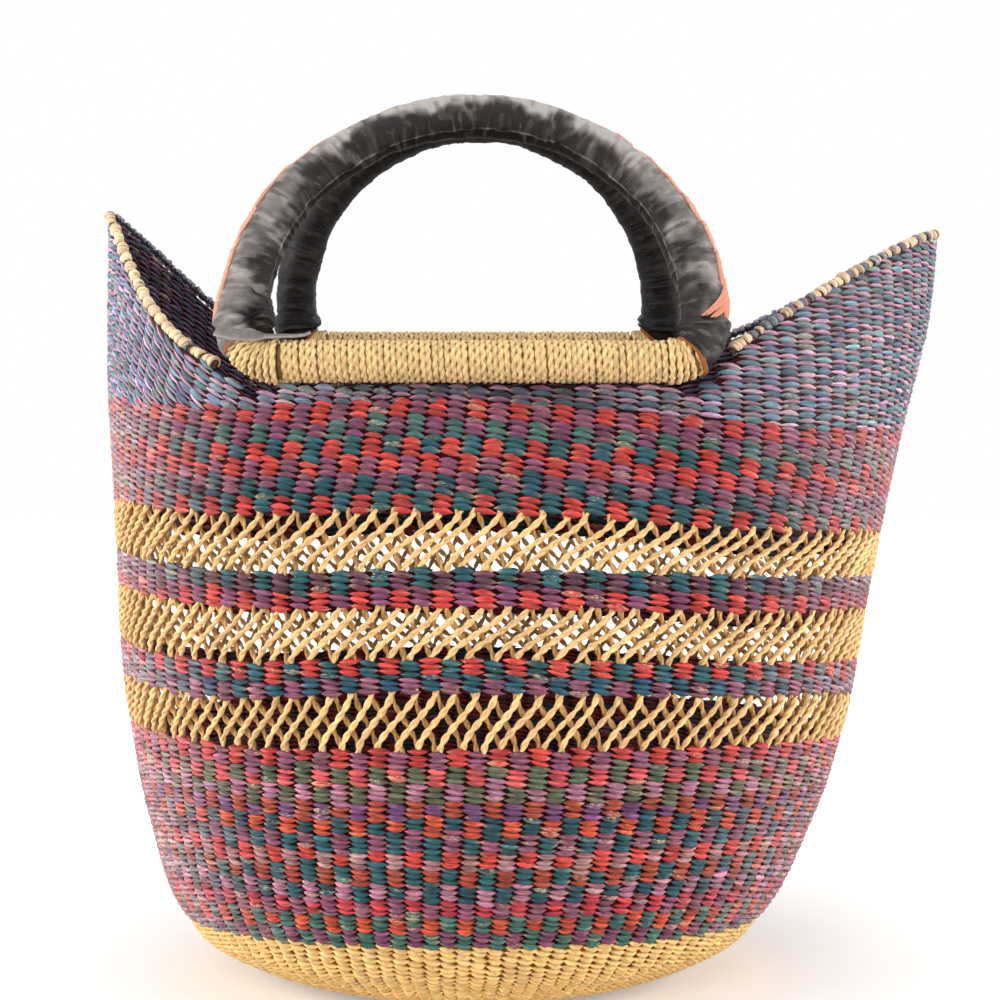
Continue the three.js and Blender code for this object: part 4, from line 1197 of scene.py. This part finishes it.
ELBOW_LENGTH = ELBOW_RADIUS * np.pi / 2
LEG_LENGTH = ARCH_CENTRE - ELBOW_RADIUS
LOOP_LENGTH = 2 * (ELBOW_LENGTH + LEG_LENGTH) + ARCH_RADIUS * np.pi
LEATHER_SIDES = 64
GRIP_STEP = 0.8
FOOT_STEP = 0.5
GRIP_CREASE = 0.75
FOOT_CREASE = 2.4
LEG_SHEEN_AND_WEAR = 0.6
REAR_SHADE = 0.26
LIP_HEIGHT = 0.8
PIT_DEPTH = 4.4
GRIP_RADIUS = 12.2
GRIP_SLIMMING = 1.7


def loop_at(s):
    """Middle of the loop and its outward direction at some lengths along it."""
    half = np.minimum(s, LOOP_LENGTH - s)
    hand = np.where(s < LOOP_LENGTH / 2, 1.0, -1.0)
    bend = np.clip(half, 0, ELBOW_LENGTH) / ELBOW_RADIUS
    up_leg = np.clip(half - ELBOW_LENGTH, 0, LEG_LENGTH)
    turn = np.clip(half - ELBOW_LENGTH - LEG_LENGTH, 0, None) / ARCH_RADIUS
    straight = np.clip(half, None, 0)
    across = ELBOW_X + straight + ELBOW_RADIUS * np.sin(bend) - ARCH_RADIUS * (1 - np.cos(turn))
    above = ELBOW_RADIUS * (1 - np.cos(bend)) + up_leg + ARCH_RADIUS * np.sin(turn)
    angle = bend - np.pi / 2 + turn
    return stacked(hand * across, 0, above), stacked(hand * np.cos(angle), 0, np.sin(angle))


def on_loop(s, theta, radius, side):
    """Points round the loop and their directions away from its middle."""
    s, theta, radius = np.broadcast_arrays(s, theta, radius)
    place, out = loop_at(s)
    ring = span(theta, out, np.array([0.0, -side.outward, 0.0]))
    return place + ring * radius[..., None], ring


def leather_relief(surface, s, theta, seed, crease):
    """How high creased leather stands at some places, and its folds and ripples there."""
    s, x, y = np.broadcast_arrays(s, np.cos(theta), np.sin(theta))
    lumps = noise(surface / 19, seed) * 0.85 + noise(surface / 8, seed + 1) * 0.3
    folds = stacked(s / 5 + 0.5 * noise(surface / 14, seed + 2), x * 0.8, y * 0.8)
    ridge = (1 - np.abs(noise(folds, seed + 3))) ** 3
    ripple = noise(stacked(s / 1.9, x * 1.8, y * 1.8), seed + 4)
    return lumps + crease * (0.75 * ridge - 0.3) + crease * 0.16 * ripple, ridge, ripple


def wrapped(side, start, end, step, radius_at, seed, crease, sheen_and_wear_amount, lip=None, pucker=None, tuck=0):
    """Leather skin round the loop, with folds across it and soft lumps along it.

    How pale it is, from painted highlights on its outside and over the arch and from wear, scales
    with the amount given; lip says at which angle its edge lies, and pucker where its end is
    gathered. tuck draws the elbow in, at its outside and towards the basket.
    """
    s = np.linspace(start, end, int((end - start) / step) + 1)[:, None]
    s, theta = np.broadcast_arrays(s, circle(LEATHER_SIDES))
    radius = radius_at(s)
    surface, ring = on_loop(s, theta, radius, side)
    lift, ridge, ripple = leather_relief(surface, s, theta, seed, crease)
    tight = np.clip(np.cos(theta), 0, 1) + 0.8 * np.clip(np.sin(theta), 0, 1)
    lift = lift - tuck * np.clip(tight, 0, 1) * smooth_step(27, 20, s)
    patchy = 0.3 * noise(surface / 11, seed + 6) + 0.2 * noise(surface / 4, seed + 7) + 0.05 * ripple
    # Paleness: painted highlight on the outside of the legs and over the top of the arch, in patches that
    # also stand for wear
    place = np.cos(theta) + patchy
    arch = smooth_step(0.66, 0.95, np.sin(np.pi * s / LOOP_LENGTH))
    sheen_and_wear = LEG_SHEEN_AND_WEAR * smooth_step(-0.85, 0.1, place) * (1 - arch)
    sheen_and_wear = sheen_and_wear + smooth_step(-0.35, 0.55, place) * arch
    sheen_and_wear = sheen_and_wear_amount * (sheen_and_wear * (1 + 0.9 * patchy) + 0.12 * patchy)
    # Painted highlights on the crests of folds and painted shade in their troughs
    sheen_and_wear = sheen_and_wear + 0.26 * ridge * (ripple > 0) - 0.14 * np.clip(-ripple, 0, 1)
    # The rear handle is painted darker all over, as shade
    shade = np.full((*s.shape, 3), REAR_SHADE if side is rear_side else 1.0)
    if lip is not None:
        edge = lip + 0.12 * noise(stacked(s / 20, s / 20, s / 20), seed + 5)
        gap = np.mod(theta - edge + np.pi, 2 * np.pi) - np.pi
        lift = lift + LIP_HEIGHT * smooth_step(0.9, 0, gap) * (gap > 0)
        sheen_and_wear = sheen_and_wear + 0.6 * np.exp(-((gap - 0.03) / 0.05) ** 2)
    if pucker is not None:
        away = surface - pucker
        far = np.linalg.norm(away / (1, 1, 1.35), axis=-1)
        spoke = np.arctan2(away[..., 2], away[..., 0])
        folds = np.exp(-(far / 10) ** 2) * np.cos(5 * spoke + 1.5 * np.sin(2 * spoke))
        lift = lift - PIT_DEPTH * np.exp(-(far / 4) ** 2) + 1.6 * folds
        # Painted highlights on the crests of the folds round the pucker
        sheen_and_wear = (sheen_and_wear + 0.34 * folds) * (1 - np.exp(-(far / 4.6) ** 2))
        # Painted shade darkening the pit of the pucker
        shade = shade * (1 - 0.97 * np.exp(-(far / 4.2) ** 2))[..., None]
    dye = np.concatenate([shade, sheen_and_wear[..., None]], -1)
    return surface + ring * lift[..., None], dye, stacked(s, theta * radius, float(seed))


def grip_radius(s):
    share = np.clip((s / LOOP_LENGTH - 0.06) / 0.88, 0, 1)
    return GRIP_RADIUS - GRIP_SLIMMING * np.sin(np.pi * share)


def strip(shapes, middle, normal, width, thickness, seed, sheen_and_wear):
    """A flat thong through points, lying on whatever its normals point away from."""
    along = unit(np.gradient(middle, axis=0))
    across = unit(np.cross(normal, along))
    up = unit(np.cross(along, across))
    phi = circle(12)
    flat_x, flat_y = (np.sign(v) * np.abs(v) ** 0.7 for v in (np.cos(phi), np.sin(phi)))
    half = flat_x * np.broadcast_to(width, len(middle))[:, None] / 2
    rings = (middle[:, None] + across[:, None] * half[..., None]
             + up[:, None] * flat_y[:, None] * thickness / 2)
    # Paler along its edges, as painted highlight
    dye = stacked(1.0, 1.0, 1.0, sheen_and_wear + 0.35 * np.abs(flat_x) ** 4)
    shapes.tubes(rings[None], dye, stacked(lengths_along(middle)[:, None], half, float(seed))[None])


LACE_STEP = 16.5
LACE_LENGTH = 24
LACE_WIDTH = 7.6
LACE_SINK = 1.2
# Section of a thong: places across it, seven on its crest and three under it, and its height
LACE_ACROSS = np.array([-1, -0.82, -0.4, 0, 0.4, 0.82, 1, 0.5, 0, -0.5])
LACE_CREST = np.array([0.3, 0.8, 1, 1, 1, 0.8, 0.3])
# How much higher the leaves lie over the left foot of the front handle
OVER_FOOT = ([28, 35, 42, 47], [2.3, 1.7, 0.7, 0])
# Two loose ends that cross the leather over the front handle's right foot: start and length
# on the loop, last angle, and the strand's number
LOOSE_ENDS = ((49, 22, -94, 77), (46, 20, -76, 81))


def lacing(side, seed):
    """Thong laced along the outside of the arch, in slanted leaves that overlap."""
    shapes = Shapes()
    q = np.linspace(0, 1, 25)

    def lay(s, angle, lift, width, light, strand):
        """A thong that hugs the leather, with its underside sunk into it."""
        s = s[:, None]
        radius = grip_radius(s)
        spot = np.radians(angle)[:, None] + LACE_ACROSS * width[:, None] / 2 / radius
        surface = on_loop(s, spot, radius, side)[0]
        relief = leather_relief(surface, s, spot, seed, GRIP_CREASE)[0]
        height = np.hstack([LACE_CREST * lift[:, None], np.full((len(s), 3), -LACE_SINK)])
        rings = on_loop(s, spot, radius + relief + height, side)[0]
        # Paler along its edges, as painted highlight
        dye = stacked(light, light, light, 0.3 + 0.5 * LACE_ACROSS**4)
        shapes.tubes(side.place(rings)[None], dye, stacked(s, LACE_ACROSS * 3, float(strand))[None])

    is_front = side is front_side
    foremost = -17 if is_front else -40
    first = ELBOW_LENGTH + LEG_LENGTH - 4
    run = LOOP_LENGTH - 2 * first - LACE_LENGTH
    count = int(run / LACE_STEP) + 1
    for k in range(count):
        s = first + run * k / (count - 1) + LACE_LENGTH * q
        height = np.sin(np.pi * s / LOOP_LENGTH)
        angle = foremost + (25 - foremost) * smooth_step(0.6, 0.98, height) + 3 * random.normal()
        width = LACE_WIDTH * np.sin(np.pi * (0.08 + 0.84 * q)) ** 0.75 * varied(0.06)
        over_foot = np.interp(LOOP_LENGTH - s, *OVER_FOOT) if is_front else 0
        lift = 0.9 + 0.9 * np.sin(np.pi * q) + over_foot
        lay(s, angle - 15 + 30 * q, lift, width, varied(0.09), 3 * k)
    for start, reach, last, strand in LOOSE_ENDS if is_front else ():
        width = 5.0 * np.sin(np.pi * (0.2 + 0.68 * q)) ** 0.5
        lay(start - reach * q, -12 + (last + 12) * q**1.5, 2.0 + q, width, 1.0, strand)
    shapes.build(f"{side.name}_lacing", coral_leather, side.body,
                 [f"{side.name}_handle_seam"])


FOOT_PITCH = 2.5
FOOT_PLY = 0.98
FOOT_START = -1.35
# Radius of the foot's winds and of its core at some lengths along the loop
FOOT_WINDS = ([-2, 0, 3, 20], [10, 9.8, 9.3, 8.9])
FOOT_CORE = ([-2.5, 0, 3], [9.4, 9.2, 8.2])
# Radius of the leather from its lower edge to its top, plain and for a gathered end
FOOT_RADII = (9.6, 11.4, 12.7, 13.7, 14.3, 13.9, 13.3, 11.6)
GATHERED_RADII = (9.6, 11.4, 12.7, 13.7, 14.3, 13.4, 12.2, 10.8)


def foot(side, hand, seed, reach, top, sheen_and_wear_amount, pucker, tuck):
    """One foot: straw wound on from the roll round the elbow, a tan edge strip, and leather.

    The straw ends and the leather starts at reach, and the leather ends at top.
    """
    name = f"{side.name}_{'right' if hand > 0 else 'left'}"
    straw = Shapes()
    t = np.linspace(0.12, 2 * np.pi - 0.12, 34) + np.pi
    count = int((reach + 2.4) / FOOT_PITCH) + 1
    for k in range(count):
        s = FOOT_START + (reach - FOOT_START) * k / (count - 1)
        s = s + 0.35 * np.sin(t + random.uniform(0, 6.28))
        radius = np.interp(s, *FOOT_WINDS) + 0.15 * random.normal()
        middle = side.place(on_loop(s, t, radius, side)[0], hand)
        normal = unit(middle - side.place(loop_at(s)[0], hand))
        across = unit(np.cross(normal, unit(np.gradient(middle, axis=0))))
        dye = np.append(STRAW * varied(0.06), STRAW_UNDYED)
        twisted(straw, middle[None], across[None], normal[None], ROLL_LAY, FOOT_PLY, dye, ROLL_SPREAD,
                random.uniform(0, 6.28))
    theta = circle(28)
    s = np.linspace(-2.5, reach + 2, 16)[:, None]
    core = on_loop(s, theta, np.interp(s, *FOOT_CORE), side)[0]
    straw.tubes(side.place(core, hand)[None], SHADED_CORE, stacked(s * 2, theta * 8, 3.0)[None])
    straw.build(f"{name}_foot_straw", plain_straw, side.body, [f"{name}_binding"])

    edging = Shapes()
    around = np.linspace(0, 2 * np.pi, 60)
    line = reach + 0.2 + 0.5 * np.sin(around + seed) + 0.35 * np.sin(3 * around)
    middle = side.place(on_loop(line, around, 10.9, side)[0], hand)
    strip(edging, middle, unit(middle - side.place(loop_at(line)[0], hand)), 3.0, 0.9, seed, 0.3)
    edging.build(f"{name}_edge_strip", tan_leather, side.body, [])

    leather = Shapes()
    upper = (9, 2, 0) if pucker else (3, 0.8, 0)
    stops = [reach - 0.8, reach + 0.3, reach + 1.6, reach + 4, 0.6 * reach + 0.4 * top + 3,
             *(top - below for below in upper)]
    radii = GATHERED_RADII if pucker else FOOT_RADII
    points, dye, fibre = wrapped(side, reach - 0.8, top, FOOT_STEP,
                                 lambda s: np.interp(s, stops, radii), seed + 10 * hand,
                                 FOOT_CREASE, sheen_and_wear_amount, None, pucker, tuck)
    leather.tubes(side.place(points, hand)[None], dye[None], fibre[None])
    leather.build(f"{name}_foot_leather", black_leather, side.body, [f"{name}_collar"])


GRIP_START = 25
GRIP_LIP = np.pi * 1.13


def handle(side, seed, grip_end, sheen_and_wear_amount, feet):
    """Grip, feet and lacing. Each foot has its reach, top, amount of painted highlight and wear, pucker
    and tuck.
    """
    shapes = Shapes()
    points, dye, fibre = wrapped(side, GRIP_START, LOOP_LENGTH - grip_end, GRIP_STEP, grip_radius,
                                 seed, GRIP_CREASE, sheen_and_wear_amount, GRIP_LIP)
    shapes.tubes(side.place(points)[None], dye[None], fibre[None])
    shapes.build(f"{side.name}_grip_leather", black_leather, side.body,
                 [f"{side.name}_handle_grip"])
    for hand, settings in zip((1, -1), feet):
        foot(side, hand, seed, *settings)
    lacing(side, seed)


handle(front_side, 40, 34, 0.92, [(9, 28, 0.24, None, 3.3), (17, 44, 1.08, (105.8, -12.8, 17.5), 0)])
handle(rear_side, 60, 25, 0.34, [(14, 30, 0.3, None, 0.8)] * 2)

# Tail: its way round the left front leg and then along the roll, measured from the bar
LEG_MIDDLE = (-110.2, 3.6, 0)
LEG_ANGLES = np.radians([25, 50, 75, 100, 122])
LEG_DISTANCE = 13.6
LEG_HEIGHTS = (14.5, 13.6, 12.8, 12.2, 11.9)
ROLL_PLACES = [(-97, -5.2, 11.7), (-91, -4.0, 11.9), (-84.5, -3.0, 12.0), (-79.5, -2.6, 12.6),
               (-77.2, -2.5, 13.9)]
TAIL_WIDTHS = ([-124, -112, -100, -90, -80, -77], [5, 8.5, 8, 5.6, 2.6, 1.8])


def tail():
    """Flap along the bottom of the left front foot that tapers into a curled tail on the roll."""
    shapes = Shapes()
    round_leg = stacked(LEG_MIDDLE[0] - LEG_DISTANCE * np.cos(LEG_ANGLES),
                        LEG_MIDDLE[1] - LEG_DISTANCE * np.sin(LEG_ANGLES), LEG_HEIGHTS)
    knots = np.concatenate([round_leg, ROLL_PLACES])
    middle = resampled(np.linspace(0, len(knots) - 1, 60), np.arange(len(knots)), knots)
    for _ in range(6):
        middle[1:-1] = (middle[:-2] + 2 * middle[1:-1] + middle[2:]) / 4
    outward = middle - LEG_MIDDLE
    outward[:, 2] = 9
    blend = smooth_step(-106, -97, middle[:, 0])[:, None]
    normal = unit(unit(outward) * (1 - blend) + unit(np.array([0, -0.35, 1.0])) * blend)
    width = np.interp(middle[:, 0], *TAIL_WIDTHS)
    middle = middle + (0, front_side.rod_y, front_side.rod_height)
    strip(shapes, middle, normal, width, 1.5, 91, 0.58)
    shapes.build("front_tail", black_leather, "front_handle", ["front_thong_tail"])


tail()

# The bars keep their CAD shape
for side in (front_side, rear_side):
    materials = frame["nodes"][f"{side.body}_bar"].data.materials
    materials.clear()
    materials.append(cane)

# Studio

FLOOR_SIZE = 40
FLOOR_COLOUR = (0.92, 0.91, 0.9, 1)
# Glow of the floor where the camera sees it: distances and strengths
FLOOR_GLOW = (0.12, 0.9, 0.24, 1.0)
AMBIENT_COLOUR = (1, 0.98, 0.96, 1)
AMBIENT_STRENGTH = 0.36
LAMP_AIM = Vector((0, 0, 0.2))
# Place, size and watts
LAMPS = {
    "key": ((-0.5, -1.6, 1.1), 0.9, 5.2),
    "left side": ((-1.5, -0.5, 0.6), 1.0, 20),
    "right side": ((1.5, -0.5, 0.6), 1.0, 18),
    "top": ((0, 0, 1.7), 1.1, 8),
}


def floor():
    nodes = Nodes(bpy.data.materials.new("floor"))
    diffuse = nodes.add("ShaderNodeBsdfDiffuse", {"Color": FLOOR_COLOUR})
    seen = nodes.add("ShaderNodeLightPath").outputs["Is Camera Ray"]
    place = nodes.add("ShaderNodeTexCoord").outputs["Object"]
    away = nodes.add("ShaderNodeVectorMath", {0: place}, operation="LENGTH").outputs["Value"]
    strength = nodes.maths("MULTIPLY", seen, nodes.ramp(away, *FLOOR_GLOW))
    glow = nodes.add("ShaderNodeEmission", {"Strength": strength})
    both = nodes.add("ShaderNodeAddShader", {0: diffuse.outputs[0], 1: glow.outputs[0]})
    nodes.feed(nodes.output, {"Surface": both.outputs[0]})
    mesh = bpy.data.meshes.new("floor")
    half = FLOOR_SIZE / 2
    corners = [(-half, -half, 0), (half, -half, 0), (half, half, 0), (-half, half, 0)]
    mesh.from_pydata(corners, [], [(0, 1, 2, 3)])
    mesh.materials.append(nodes.owner)
    plane = put("floor", mesh)


def world():
    """Plain ambient light, with white where the camera, metal or glass sees the background."""
    nodes = Nodes(bpy.data.worlds.new("studio"), "ShaderNodeOutputWorld")
    bpy.context.scene.world = nodes.owner
    rays = nodes.add("ShaderNodeLightPath").outputs
    seen = nodes.maths("MAXIMUM", rays["Is Camera Ray"], rays["Is Glossy Ray"])
    seen = nodes.maths("MAXIMUM", seen, rays["Is Transmission Ray"])
    ambient = nodes.add("ShaderNodeBackground", {"Color": AMBIENT_COLOUR, "Strength": AMBIENT_STRENGTH})
    backdrop = nodes.add("ShaderNodeBackground", {"Color": (1, 1, 1, 1), "Strength": 1})
    mix = nodes.add("ShaderNodeMixShader", {0: seen, 1: ambient.outputs[0], 2: backdrop.outputs[0]})
    nodes.feed(nodes.output, {"Surface": mix.outputs[0]})


def lamps():
    for name, (place, size, watts) in LAMPS.items():
        data = bpy.data.lights.new(name, "AREA")
        data.shape = "DISK"
        data.size = size
        data.energy = watts
        item = put(name, data)
        item.location = place
        item.rotation_euler = (LAMP_AIM - Vector(place)).to_track_quat("-Z", "Y").to_euler()


floor()
world()
lamps()

bpy.context.scene.view_settings.view_transform = "Standard"
